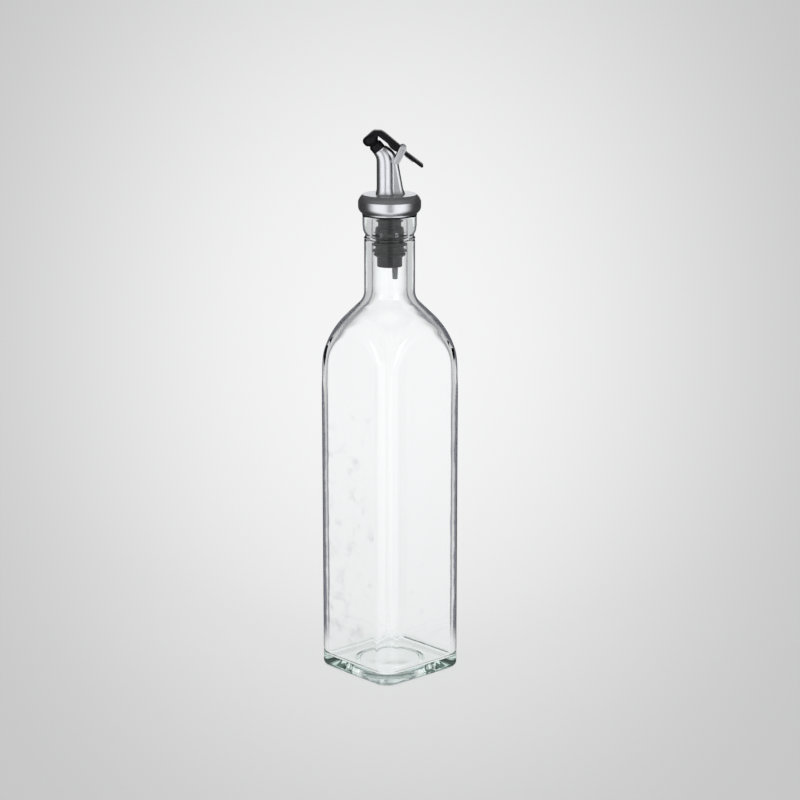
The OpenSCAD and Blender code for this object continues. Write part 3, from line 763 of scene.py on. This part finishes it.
class OILBOTTLE_OT_stem(bpy.types.Operator):
    """Builds the black stem, its air tube and the gasket on the rim"""

    bl_idname = "oilbottle.stem"
    bl_label = "Stem, air tube and gasket"

    def execute(self, context):
        scene = context.scene
        glass, sizes, pourer = scene.oil_bottle_glass, scene.oil_bottle_stopper, scene.oil_bottle_pourer
        rim_z, collar_z, top_z = BOTTLE_HIGH.z, COLLAR_LOW.z, COLLAR_HIGH.z
        foot_z = rim_z - sizes.stem_length
        end = fin_stack(sizes)[1]
        flange, roof = COLLAR_HIGH.x - 3.4 * MM, collar_z + 1 * MM
        foot = sizes.stem + 0.5 * MM
        profile = rounded([
            (0, top_z - 1.2 * MM, 0), (6.3 * MM, top_z - 1.2 * MM, 0.3),
            (6.3 * MM, collar_z + 3 * MM, 0.3), (flange, collar_z + 3 * MM, 0.3),
            (flange, collar_z, 0.2), (sizes.stem, collar_z, 0), (sizes.stem, rim_z, 0),
            (sizes.hub, rim_z, 0.1), (sizes.hub, rim_z - 3 * MM, 0.5),
            (sizes.stem, rim_z - 3 * MM, 0.2), (sizes.stem, end - 0.1 * MM, 0),
            (foot, end - 0.1 * MM, 0.2), (foot, foot_z, 0.35), (sizes.passage, foot_z, 0.2),
            (sizes.passage, roof, 0.2), (0, roof, 0)])
        stem = skin(turning(profile, 128))
        vent_x, vent_top, gallery = 3 * MM, collar_z + 4.6 * MM, collar_z + 5.3 * MM
        air_x = AIR_SHIFT - pourer.tube_at
        hole_x, tube_x, below = POUR_SHIFT - pourer.tube_at, -pourer.tube_at, roof - 1 * MM
        stem = combined(stem, cutters(
            bar(pourer.pouring_hole, (hole_x, 0, below), (hole_x, 0, top_z), 48),
            bar(LINER + FIT, (tube_x, 0, top_z - SOCKET_DEPTH), (tube_x, 0, top_z)),
            bar(sizes.vent + FIT, (vent_x, 0, below), (vent_x, 0, vent_top), 48),
            bar(AIR_HOLE, (vent_x, 0, roof), (vent_x, 0, gallery), 24),
            bar(AIR_HOLE, (air_x, 0, gallery), (air_x, 0, top_z), 24),
            bar(AIR_HOLE, (air_x, 0, gallery), (vent_x, 0, gallery), 24)))
        turn_mesh(stem)
        add_piece("stem", stem, "pourer", "stem", "black_plastic")

        low = foot_z - sizes.vent_drop
        tube = rounded([(sizes.vent - 0.7 * MM, vent_top, 0.1), (sizes.vent, vent_top, 0.15),
                        (sizes.vent, foot_z, 2), (sizes.vent - 0.3 * MM, low, 0.12),
                        (sizes.vent - 0.7 * MM, low, 0.12)], closed=True)
        tube = skin(turning(tube, 48) + (vent_x, 0, 0), loop=True)
        turn_mesh(tube)
        add_piece("air_tube", tube, "pourer", "vent_tube", "grey_plastic")

        gasket_low, gasket_high = rim_z + 0.05 * MM, collar_z
        inner, outer = sizes.stem + FIT, glass.rim + 0.2 * MM
        ring = rounded([(inner, gasket_low, 0), (outer, gasket_low, 0.2),
                        (outer, gasket_high, 0.2), (inner, gasket_high, 0)], closed=True)
        add_piece("gasket_ring", skin(turning(ring, 128), loop=True), "pourer", "gasket",
                  "black_rubber")
        return {"FINISHED"}


class OILBOTTLE_OT_collar(bpy.types.Operator):
    """Builds the satin collar: a chamfer with a crisp foot, a barrel band and a rounded lower edge"""

    bl_idname = "oilbottle.collar"
    bl_label = "Collar"

    def execute(self, context):
        pourer = context.scene.oil_bottle_pourer
        low, high = COLLAR_LOW.z, COLLAR_HIGH.z
        r = (COLLAR_HIGH.x - COLLAR_LOW.x) / 2
        middle = (low + high) / 2
        inside = r - 3.38 * MM
        band = arc((r - 24 * MM, middle), 24 * MM, -2, 4.6, 14)
        profile = np.concatenate([
            rounded([(inside, low, 0), (r - 2.3 * MM, low, 0), (r - 2.2 * MM, low + 0.55 * MM, 0)], 3),
            arc((r - 4.4 * MM, low + 4.4 * MM), 4.4 * MM, -60, -8, 16), band,
            rounded([(band[-1, 0], band[-1, 1], 0), (r - 1.15 * MM, high - 1.45 * MM, 3),
                     (r - 2.45 * MM, high, 0.25), (0, high, 0)], 8)[1:],
            rounded([(0, high - 1.2 * MM, 0), (inside, high - 1.2 * MM, 0.2),
                     (inside, low + 0.1 * MM, 0)])])
        mesh = self.closed_ring(profile)
        tube_x = -pourer.tube_at
        hole = bar(LINER + FIT, (tube_x, 0, high - 3 * MM), (tube_x, 0, high + 3 * MM))
        mesh = combined(mesh, cutters(hole))
        turn_mesh(mesh)
        add_piece("collar_shell", mesh, "pourer", "collar", "satin_metal", crease=14)
        return {"FINISHED"}

    @staticmethod
    def closed_ring(profile):
        """The profile starts inside at the lower edge, runs out, up and over to the axis, then back."""
        middle = int(np.argmin(profile[:, 0]))
        outer, inner = profile[:middle + 1], profile[middle + 1:]
        return skin(turning(np.concatenate([inner, outer]), 160), loop=False)


# ---------------------------------------------------------------- spout, nozzle and yoke


class Mouth:
    """The mouth's frame: out along the nozzle, and across it towards the rear."""

    def __init__(self, pourer):
        self.x, self.z = -pourer.mouth_at, PIVOT_AT.z - pourer.mouth_drop
        self.out = np.array([-math.cos(pourer.mouth_tilt), math.sin(pourer.mouth_tilt)])
        self.across = np.array([self.out[1], -self.out[0]])

    def at(self, across, out):
        """A point of the lever's plane."""
        sideways, forwards = np.multiply.outer(across, self.across), np.multiply.outer(out, self.out)
        return np.array([self.x, self.z]) + sideways + forwards

    def place(self, grid):
        """A grid drawn about +Z, stood on the mouth with +Z out along the nozzle."""
        side = np.array([self.across[0], 0, self.across[1]])
        out = np.array([self.out[0], 0, self.out[1]])
        return (np.array([self.x, 0, self.z]) + grid[..., :1] * side + grid[..., 1:2] * np.array([0, 1, 0])
                + grid[..., 2:] * out)


def bezier(p, t):
    """Cubic curve through four control points."""
    t = t[:, None]
    return (1 - t) ** 3 * p[0] + 3 * t * (1 - t) ** 2 * p[1] + 3 * t * t * (1 - t) * p[2] + t**3 * p[3]


def spout_grid(pourer, rings=72, columns=128):
    """The spout's skin, from the collar up and over to the mouth.

    Ring t runs straight across from a front line to a rear line. Its half width at distance d from
    the front is a round tube in front and a slim rib with a round end behind, joined by a soft
    maximum, and it becomes a circle at the mouth, whose rim is rounded.
    """
    mouth = Mouth(pourer)
    top = COLLAR_HIGH.z
    bend = mouth.z - top - 8.5 * MM
    front_x, foot_x, rear_x = -pourer.tube_at - pourer.tube, 8 * MM, 5.1 * MM
    t = np.concatenate([np.linspace(0, 0.25, rings // 4, endpoint=False),
                        np.linspace(0.25, 1.955, 3 * rings // 4)])
    flare = 0.7 * MM * np.maximum(1 - t * bend / (4 * MM), 0) ** 2
    low, high = np.clip(t, 0, 1)[:, None], np.clip(t - 1, 0, 1)
    upright_front = np.concatenate([front_x - flare[:, None], top + low * bend], 1)
    upright_rear = np.concatenate([foot_x + (rear_x - foot_x) * low + flare[:, None], top + low * bend], 1)
    rim = 0.35 * MM
    front = bezier([np.array([front_x, top + bend]), np.array([front_x, top + bend + 3 * MM]),
                    mouth.at(-pourer.mouth, -2.5 * MM), mouth.at(-pourer.mouth, 0)], high)
    rear = bezier([np.array([rear_x, top + bend]), np.array([rear_x - 0.1 * MM, top + bend + 5.8 * MM]),
                   mouth.at(pourer.mouth + 1.6 * MM, -2.7 * MM), mouth.at(pourer.mouth, 0)], high)
    front = np.where(t[:, None] < 1, upright_front, front)
    rear = np.where(t[:, None] < 1, upright_rear, rear)
    depth = np.linalg.norm(rear - front, axis=1)
    across = unit(rear - front)
    tube = np.minimum(depth / 2, pourer.tube + (pourer.mouth - pourer.tube) * high + flare)
    rib = np.minimum(depth / 2, pourer.rib + (pourer.mouth - pourer.rib) * high**2 + flare)
    a = np.radians(360 * (np.arange(columns) + 0.5) / columns)[None]
    w, r, q = depth[:, None], tube[:, None], rib[:, None]
    d = w * (1 - np.cos(a)) / 2
    round_part = np.sqrt(np.maximum(r**2 - (d - r) ** 2, 0))
    tail = np.sqrt(np.maximum(q**2 - np.maximum(d - w + q, 0) ** 2, 0))
    tail = np.minimum(tail, q * d / r + 1e-6)
    soft = 0.8 * np.minimum((w - 2 * r) / r, 1) * np.sqrt(round_part * tail) / q
    soft = soft * MM
    blended = (round_part + tail + np.sqrt((round_part - tail) ** 2 + soft**2)) / 2
    plain = np.sqrt(np.maximum(d * (w - d), 0))
    y = np.where((w - 2 * r) / r < 0.06, plain, blended) * np.where(a < math.pi, 1, -1)
    grid = np.stack([front[:, :1] + across[:, :1] * d, y, front[:, 1:] + across[:, 1:] * d], -1)
    f = np.linspace(0, math.pi / 2, 7)[:, None]
    radius = pourer.mouth - rim * (1 - np.cos(f))
    lip = mouth.place(np.stack([-radius * np.cos(a), radius * np.sin(a), rim * (np.sin(f) - 1) + 0 * a], -1))
    return np.concatenate([grid, lip])


def liner_bars(pourer, radius, shift, low, out):
    """Upright bar and sloping bar that meet in the spout's elbow; shift moves both rearwards."""
    mouth = Mouth(pourer)
    back = (pourer.mouth_at - pourer.tube_at) / -mouth.out[0]
    elbow_z = mouth.z - back * mouth.out[1]
    turn = shift * (1 - mouth.out[1]) / -mouth.out[0]
    x, z = shift - pourer.tube_at, elbow_z - shift * mouth.out[0] - turn * mouth.out[1]
    out_3d = np.array([mouth.out[0], 0, mouth.out[1]])
    bend = np.array([x, 0, z])
    sides = 96 if radius > 1 * MM else 24
    upright = rod(radius, (x, 0, low), (x, 0, z + 0.3 * radius), sides)
    slope = rod(radius - SLOPE_THIN, bend - 0.3 * radius * out_3d, bend + (back + turn + out) * out_3d, sides)
    return skin(upright), skin(slope)


def pin_bar(radius):
    """A bar along the hinge's line, longer than the yoke is wide."""
    x, z = PIVOT
    return bar(radius, (x, -PIN_REACH, z), (x, PIN_REACH, z), 40)


def ear_outline(yoke_radius=1.7 * MM, ear_radius=2 * MM):
    """A cheek of the yoke: two circles, round the pin and on the spout, and the lines that touch both."""
    yoke = PIVOT - (3.2 * MM, 6.6 * MM)
    way = math.degrees(math.atan2(*(PIVOT - yoke)[::-1]))
    skew = math.degrees(math.asin((ear_radius - yoke_radius) / np.linalg.norm(PIVOT - yoke)))
    upper = arc(PIVOT, ear_radius, way - 90 - skew, way + 90 + skew, 28)
    lower = arc(yoke, yoke_radius, way + 90 + skew, way + 270 - skew, 20)
    return refine(np.concatenate([upper, lower]), 0.5 * MM)


class OILBOTTLE_OT_spout(bpy.types.Operator):
    """Builds the satin spout with its yoke, the black nozzle inside it and the hinge pin"""

    bl_idname = "oilbottle.spout"
    bl_label = "Spout, nozzle and pin"

    def execute(self, context):
        scene = context.scene
        pourer, lever = scene.oil_bottle_pourer, scene.oil_bottle_lever
        mouth, top = Mouth(pourer), COLLAR_HIGH.z
        ear_in, ear_out = lever.half_width + 0.25 * MM, lever.half_width + 1.45 * MM
        slot = skin(slab(arc(PIVOT, SLOT_RADIUS, 0, 360, 96)[:-1], -ear_in, ear_in, 0))
        yoke = combined(skin(slab(ear_outline(), -ear_out, ear_out, 0.3 * MM)), cutters(slot))
        upright, slope = liner_bars(pourer, LINER + FIT, 0, top - 1 * MM, 2 * MM)
        spout = combined(skin(spout_grid(pourer)), [
            ("UNION", yoke), *cutters(upright, slope, pin_bar(lever.pin + FIT))])
        turn_mesh(spout)
        add_piece("spout", spout, "pourer", "spout_shell", "satin_metal", crease=30)

        low = top - SOCKET_DEPTH
        upright, slope = liner_bars(pourer, LINER, 0, low, 0.5 * MM)
        tip = rounded([(0, 0.05 * MM, 0), (pourer.nozzle, 0.05 * MM, 0.1),
                       (pourer.nozzle, pourer.nozzle_length, 1.3), (0, pourer.nozzle_length, 0)], 8)
        tip = skin(mouth.place(turning(tip, 96)))
        holes = [hole for radius, shift in ((pourer.pouring_hole, POUR_SHIFT), (AIR_HOLE, AIR_SHIFT))
                 for hole in liner_bars(pourer, radius, shift, low - 1 * MM, pourer.nozzle_length + 1 * MM)]
        nozzle = combined(upright, [("UNION", slope), ("UNION", tip), *cutters(*holes)])
        turn_mesh(nozzle)
        add_piece("nozzle", nozzle, "pourer", "nozzle", "black_plastic")

        end = ear_out - 0.3 * MM
        pin = rounded([(0, -end, 0), (lever.pin, -end, 0.12), (lever.pin, end, 0.12), (0, end, 0)])
        pin = turning(pin, 40)[..., [0, 2, 1]] + (PIVOT[0], 0, PIVOT[1])
        pin = skin(pin)
        turn_mesh(pin)
        add_piece("hinge_pin", pin, "pourer", "pivot_pin", "satin_metal")
        return {"FINISHED"}


# ---------------------------------------------------------------- lever, seal and spring


class LeverPlan:
    """Where the lever's parts lie in its own plane."""

    def __init__(self, pourer, lever):
        self.mouth = Mouth(pourer)
        self.cap_from = pourer.nozzle_length + SEAL_LIFT + SEAL_SHOW
        self.cap_to = self.cap_from + lever.cap_height
        self.head = self.mouth.at(7.9 * MM, self.cap_to - 3 * MM)
        self.arm_length = np.linalg.norm(self.head - PIVOT)
        slope = math.atan2(self.head[1] - PIVOT[1], PIVOT[0] - self.head[0]) - math.radians(0.6)
        self.along = np.array([-math.cos(slope), math.sin(slope)])
        self.up = np.array([math.sin(slope), math.cos(slope)])
        tilt = math.radians(36.6)
        self.thumb = np.array([math.cos(tilt), -math.sin(tilt)])
        self.under = np.array([-math.sin(tilt), -math.cos(tilt)])
        self.tilt = tilt

    def on_arm(self, along, up):
        """A point along the arm from the pin, and up from its line."""
        return PIVOT + along * self.along + up * self.up

    def on_thumb(self, along, down):
        """A point along the thumb plate from the pin, and down from its line."""
        return PIVOT + along * self.thumb + down * self.under


def outline(*rows):
    """Rounded loop through (point, radius in millimetres) rows."""
    return rounded([(*point, radius) for point, radius in rows], closed=True)


def lever_mesh(pourer, lever):
    """The lever: rounded slabs for arm, root and thumb plate, and a turned cap, joined and then cut."""
    plan = LeverPlan(pourer, lever)
    mouth, arm_l, t = plan.mouth, plan.arm_length, lever.arm
    arm = outline(
        (mouth.at(-1.5 * MM, plan.cap_to - 1.2 * MM), 0.6),
        (mouth.at(0.5 * MM, plan.cap_to - 0.01 * MM), 1.0),
        (mouth.at(lever.cap + 0.2 * MM, plan.cap_to), 2.4), (plan.head, 3.2),
        (plan.on_arm(arm_l - 2.5 * MM, 0.4 * MM), 2.5), (plan.on_arm(0.6 * MM, 0.4 * MM), 1.5),
        (plan.on_arm(-1.9 * MM, 0.1 * MM), 1.2), (plan.on_arm(-1.5 * MM, -2.2 * MM), 1.0),
        (plan.on_arm(0.6 * MM, 0.4 * MM - t), 0.8),
        (plan.on_arm(3 * MM, -3.9 * MM), 1.5), (plan.on_arm(5.6 * MM, -4 * MM), 1.5),
        (plan.on_arm(arm_l - 6.8 * MM, 0.4 * MM - t), 1.5), (mouth.at(lever.cap, 6.4 * MM), 0.6),
        (mouth.at(-1.5 * MM, plan.cap_from + 2 * MM), 0.6))
    arm = moulded(arm, 0.6 * MM, lever.half_width, lever.edge)
    wide_from, wide_to, drop, thick = 6.3 * MM, lever.thumb_length, THUMB_DROP, THUMB_THICK
    root = outline(
        (plan.on_thumb(-0.6 * MM, drop), 0.5), (plan.on_thumb(wide_from + 1.2 * MM, drop + 0.01 * MM), 0.5),
        (plan.on_thumb(wide_from + 1.2 * MM, drop + thick - 0.01 * MM), 0.5),
        (plan.on_thumb(-0.6 * MM, drop + thick), 0.5))
    root = skin(slab(root, -lever.half_width + 0.01 * MM, lever.half_width - 0.01 * MM, lever.edge * 0.8))
    thumb = outline(
        (plan.on_thumb(wide_from, drop + 0.05 * MM), 0.5),
        (plan.on_thumb(wide_to - 0.7 * MM, drop + 0.2 * MM), 0.7),
        (plan.on_thumb(wide_to, drop + 0.9 * MM), 0.6),
        (plan.on_thumb(wide_to - 0.7 * MM, drop + thick), 0.6),
        (plan.on_thumb(wide_from, drop + thick - 0.05 * MM), 0.5))
    thumb = moulded(thumb, 0.8 * MM, lever.thumb_half, lever.edge)
    cap = rounded([(0, plan.cap_from, 0), (lever.cap, plan.cap_from, 2.1),
                   (lever.cap, plan.cap_to, 2.35), (0, plan.cap_to, 0)], 9)
    cap = skin(mouth.place(turning(cap, 96)))

    coil = lever.pin + COIL_GAP + 2 * lever.wire
    room = COIL_HALF + lever.wire + 0.25 * MM
    coil_room = skin(slab(arc(PIVOT, coil + 0.15 * MM, 0, 360, 48)[:-1], -room, room, 0))
    belly = np.array([PIVOT + (-4.4 * MM, -3.4 * MM), PIVOT + (-1.3 * MM, 0.4 * MM), PIVOT + (1.3 * MM, 0),
                      plan.on_thumb(3.2 * MM, 1 * MM), plan.on_thumb(3.2 * MM, 0) - (0, 5 * MM),
                      PIVOT + (-4.4 * MM, -6 * MM)])
    belly = skin(slab(belly, 0.02 * MM - room, room - 0.02 * MM, 0))
    seat_top, stud_top = plan.cap_from + 1 * MM, plan.cap_from + 3.4 * MM
    disc, stud, below = SEAL_DISC + FIT, SEAL_STUD + FIT, plan.cap_from - 1 * MM
    seat = rounded([(0, below, 0), (disc, below, 0), (disc, seat_top, 0), (stud, seat_top, 0),
                    (stud, stud_top, 0), (0, stud_top, 0)])
    seat = skin(mouth.place(turning(seat, 96)))
    groove = outline(
        (plan.on_arm(3.6 * MM, -1.15 * MM), 0.3), (plan.on_arm(arm_l - 3.4 * MM, -1.15 * MM), 0.3),
        (plan.on_arm(arm_l - 3.4 * MM, -1.75 * MM), 0.3), (plan.on_arm(3.6 * MM, -1.75 * MM), 0.3))
    depth = lever.half_width - 0.35 * MM
    grooves = [skin(slab(groove, depth, 6 * MM, 0)), skin(slab(groove, -6 * MM, -depth, 0))]
    return combined(arm, [("UNION", root), ("UNION", thumb), ("UNION", cap),
                          *cutters(coil_room, belly, pin_bar(lever.pin + TURN_FIT), seat, *grooves)])


def spring_path(pourer, lever, turns=4):
    """Middle line of the spring: a straight leg, a helix round the pin and a second leg."""
    plan = LeverPlan(pourer, lever)
    radius, half = lever.pin + COIL_GAP + lever.wire, COIL_HALF
    under = THUMB_DROP + THUMB_THICK + lever.wire + 0.05 * MM
    start = math.pi + math.pi / 2 - plan.tilt
    a = start - np.linspace(0, turns * 2 * math.pi + math.pi / 2, 30 * turns + 9)
    helix = np.stack([PIVOT[0] + radius * np.cos(a), np.linspace(-half, half, len(a)),
                      PIVOT[1] + radius * np.sin(a)], 1)
    legs = [plan.on_thumb(9 * MM, under), plan.on_thumb(4 * MM, under),
            plan.on_thumb(2.4 * MM, under - 0.5 * MM)]
    first = np.array([(x, -half, z) for x, z in legs])
    last = helix[-1] + 4.2 * MM * np.array([-0.42, 0, -0.91])
    return np.concatenate([first, helix, last[None]])


class OILBOTTLE_OT_lever(bpy.types.Operator):
    """Builds the lever with its cap, the seal plug in the cap and the return spring round the pin"""

    bl_idname = "oilbottle.lever"
    bl_label = "Lever, seal and spring"

    def execute(self, context):
        scene = context.scene
        pourer, lever = scene.oil_bottle_pourer, scene.oil_bottle_lever
        mesh = lever_mesh(pourer, lever)
        turn_mesh(mesh)
        add_piece("lever", mesh, "thumb_lever", "lever", "black_plastic", crease=40)

        low = pourer.nozzle_length + SEAL_LIFT
        step, top = low + 1.43 * MM, low + 3.83 * MM
        seal = rounded([(0, low, 0), (SEAL_DISC, low, 0.25), (SEAL_DISC, step, 0.15),
                        (SEAL_STUD, step, 0.1), (SEAL_STUD, top, 0.2), (0, top, 0)])
        seal = skin(Mouth(pourer).place(turning(seal, 72)))
        turn_mesh(seal)
        add_piece("seal_plug", seal, "thumb_lever", "seal_plug", "black_rubber")

        circle = arc((0, 0), lever.wire, 0, 360, 12)[:-1]
        wire = skin(carried(circle, spring_path(pourer, lever), (0.01, 1, 0.02)))
        turn_mesh(wire)
        spring = add_piece("return_spring", wire, None, "return_spring", "spring_wire")
        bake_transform(spring)
        return {"FINISHED"}


# ---------------------------------------------------------------- the studio


def mirror_ray(r):
    """1 for light straight off a polished surface, and 0 for what is seen plainly or through glass."""
    return r.node("LightPath", out="Is Glossy Ray") * (1 - r.node("LightPath", out="Is Transmission Ray"))


def towards_camera(studio):
    """Level direction from the axis towards the camera."""
    return (math.sin(studio.azimuth), -math.cos(studio.azimuth), 0.0)


def eye(studio):
    """The camera's place."""
    x, y, _ = towards_camera(studio)
    return (studio.distance * x, studio.distance * y, studio.height)


def halo(r, way, studio):
    """1 in the middle of the soft glow behind the bottle and 0 far from it, for a direction in the world.

    The glow's middle lies along the camera's own line, a little above it, and its distance d from a
    direction is the length of their difference, with the height counted a little less: 1 - smooth(d).
    """
    x, y, _ = towards_camera(studio)
    middle = Vector((-x, -y, -math.tan(studio.pitch) + 0.035)).normalized()
    apart = r.vector("MULTIPLY", r.vector("SUBTRACT", way, tuple(middle)), (1.0, 1.0, 0.8))
    far = r.node("VectorMath", {"operation": "LENGTH"}, {0: apart}, out="Value")
    return 1 - r.between(far, 0.02, 0.24)


def backdrop(r, way, studio):
    """The backdrop's colour in a direction, a little brighter where it is seen through glass, which evens
    out the light that the four faces of the bottle turn away."""
    colour = r.mix(halo(r, way, studio), tuple(studio.backdrop), tuple(studio.glow))
    share = r.node("LightPath", out="Is Transmission Ray") * 0.13 + 1
    return r.node("VectorMath", {"operation": "SCALE"}, {0: colour, "Scale": share})


def studio_world(studio):
    """Even pale surroundings to look at and to light by, and soft panels for polished surfaces to mirror."""
    world = bpy.data.worlds.new("studio_world")
    bpy.context.scene.world = world
    world.use_nodes = True
    r = Recipe(world.node_tree)
    way = r.node("TexCoord", out="Generated")
    ahead = towards_camera(studio)
    aside = (-ahead[1], ahead[0], 0.0)
    axes = (ahead, aside, (0.0, 0.0, 1.0))
    front, side, up = (r.vector("DOT_PRODUCT", way, axis, "Value") for axis in axes)
    panels = r.between(front, 0.0, 0.62)
    gap = r.between(side, -0.24, -0.06) * (1 - r.between(side, 0.12, 0.34)) * r.between(front, 0.5, 0.8)
    behind = r.between(front * -1, 0.25, 0.8) * r.between(up, -0.04, 0.08)
    behind = behind * (1 - r.between(side * side, 0.02, 0.10))
    ceiling = r.between(up, 0.30, 0.47)
    level = panels * (1.2 - gap * 0.85) + behind + 0.05
    mirrored = (1 - ceiling) * level + ceiling * (panels * 0.06 + 0.12)
    ray = mirror_ray(r)
    seen = backdrop(r, way, studio)
    grey = r.node("CombineColor", {}, {"Red": mirrored, "Green": mirrored, "Blue": mirrored * 1.03})
    colour = r.mix(ray, seen, grey)
    background = r.node("Background", {}, {"Color": colour, "Strength": 1.0})
    r.finish("World", Surface=background)


def floor_finish(studio):
    """Pale floor that glows with its own light, in a painted pool that is brightest along the camera's line,
    and takes a faint shadow; polished surfaces mirror the panels behind it instead."""
    material = bpy.data.materials.new("pale_floor")
    material.use_nodes = True
    r = Recipe(material.node_tree)
    way = r.node("VectorMath", {"operation": "NORMALIZE"}, {0: r.vector("SUBTRACT", r.place(), eye(studio))})
    colour = backdrop(r, way, studio)
    lit = r.node("BsdfPrincipled", {}, {
        "Base Color": (0.10, 0.10, 0.10, 1), "Roughness": 1.0, "Specular IOR Level": 0.0,
        "Emission Color": colour, "Emission Strength": 0.92}, out="BSDF")
    clear = r.node("BsdfTransparent")
    ray = mirror_ray(r)
    r.finish("Material", Surface=r.node("MixShader", {}, {0: ray, 1: lit, 2: clear}))
    return material


class OILBOTTLE_OT_studio(bpy.types.Operator):
    """Builds the floor, the soft light and the camera"""

    bl_idname = "oilbottle.studio"
    bl_label = "Studio"

    def execute(self, context):
        scene = context.scene
        studio = scene.oil_bottle_studio
        scene.view_settings.view_transform = "Standard"
        studio_world(studio)

        floor = turning(np.array([(0.0, 0.0), (0.6, 0.0), (40.0, 0.0)]), 96)
        floor[..., 2] -= 0.05 * MM
        mesh = bpy.data.meshes.new("floor")
        rows, columns = floor.shape[:2]
        index = np.arange(rows * columns).reshape(rows, columns)
        quads = np.stack([index[1:-1], np.roll(index[1:-1], -1, 1), np.roll(index[2:], -1, 1), index[2:]], -1)
        faces = [index[1].tolist()] + quads.reshape(-1, 4).tolist()
        mesh.from_pydata(floor.reshape(-1, 3).tolist(), [], faces)
        mesh.materials.append(floor_finish(studio))
        table = bpy.data.objects.new("floor", mesh)
        scene.collection.objects.link(table)

        for name, turn, energy in (("key_light", 42, 6.0), ("fill_light", -50, 4.0)):
            lamp = bpy.data.lights.new(name, "AREA")
            lamp.shape, lamp.size, lamp.size_y, lamp.energy = "RECTANGLE", 0.5, 0.9, energy
            light = bpy.data.objects.new(name, lamp)
            angle = studio.azimuth + math.radians(turn)
            light.location = (1.3 * math.sin(angle), -1.3 * math.cos(angle), 0.75)
            aim = Vector((0, 0, 0.2)) - light.location
            light.rotation_euler = aim.to_track_quat("-Z", "Y").to_euler()
            light.visible_camera = False
            light.visible_glossy = False
            scene.collection.objects.link(light)

        data = bpy.data.cameras.new("camera")
        data.lens, data.sensor_width, data.clip_start, data.clip_end = studio.lens, 36, 0.05, 100
        camera = bpy.data.objects.new("camera", data)
        camera.location = eye(studio)
        heading = studio.azimuth - studio.yaw
        aim = Vector((-math.sin(heading) * math.cos(studio.pitch), math.cos(heading) * math.cos(studio.pitch),
                      -math.sin(studio.pitch)))
        camera.rotation_euler = aim.to_track_quat("-Z", "Y").to_euler()
        scene.collection.objects.link(camera)
        scene.camera = camera
        return {"FINISHED"}


# ---------------------------------------------------------------- panel and registration


GROUPS = {"oil_bottle_glass": BottleSizes, "oil_bottle_stopper": StopperSizes,
          "oil_bottle_pourer": PourerSizes, "oil_bottle_lever": LeverSizes,
          "oil_bottle_finishes": Finishes, "oil_bottle_studio": StudioSizes}
STEPS = (OILBOTTLE_OT_bottle, OILBOTTLE_OT_stopper, OILBOTTLE_OT_stem, OILBOTTLE_OT_collar,
         OILBOTTLE_OT_spout, OILBOTTLE_OT_lever, OILBOTTLE_OT_studio)


class OILBOTTLE_PT_panel(bpy.types.Panel):
    """Lists the steps that build the bottle, and the sizes and colours that they use"""

    bl_label = "Oil bottle"
    bl_idname = "OILBOTTLE_PT_panel"
    bl_space_type = "VIEW_3D"
    bl_region_type = "UI"
    bl_category = "Oil bottle"

    def draw(self, context):
        for step in STEPS:
            self.layout.operator(step.bl_idname)
        for attribute, group in GROUPS.items():
            box = self.layout.box()
            box.label(text=group.__name__)
            for name in group.__annotations__:
                box.prop(getattr(context.scene, attribute), name)


def register():
    for group in (*GROUPS.values(), *STEPS, OILBOTTLE_PT_panel):
        bpy.utils.register_class(group)
    for attribute, group in GROUPS.items():
        setattr(bpy.types.Scene, attribute, PointerProperty(type=group))


def unregister():
    for attribute in GROUPS:
        delattr(bpy.types.Scene, attribute)
    for group in reversed((*GROUPS.values(), *STEPS, OILBOTTLE_PT_panel)):
        bpy.utils.unregister_class(group)


def main():
    """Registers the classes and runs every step."""
    register()
    for step in STEPS:
        group, name = step.bl_idname.split(".")
        getattr(getattr(bpy.ops, group), name)()


if __name__ == "__main__":
    main()
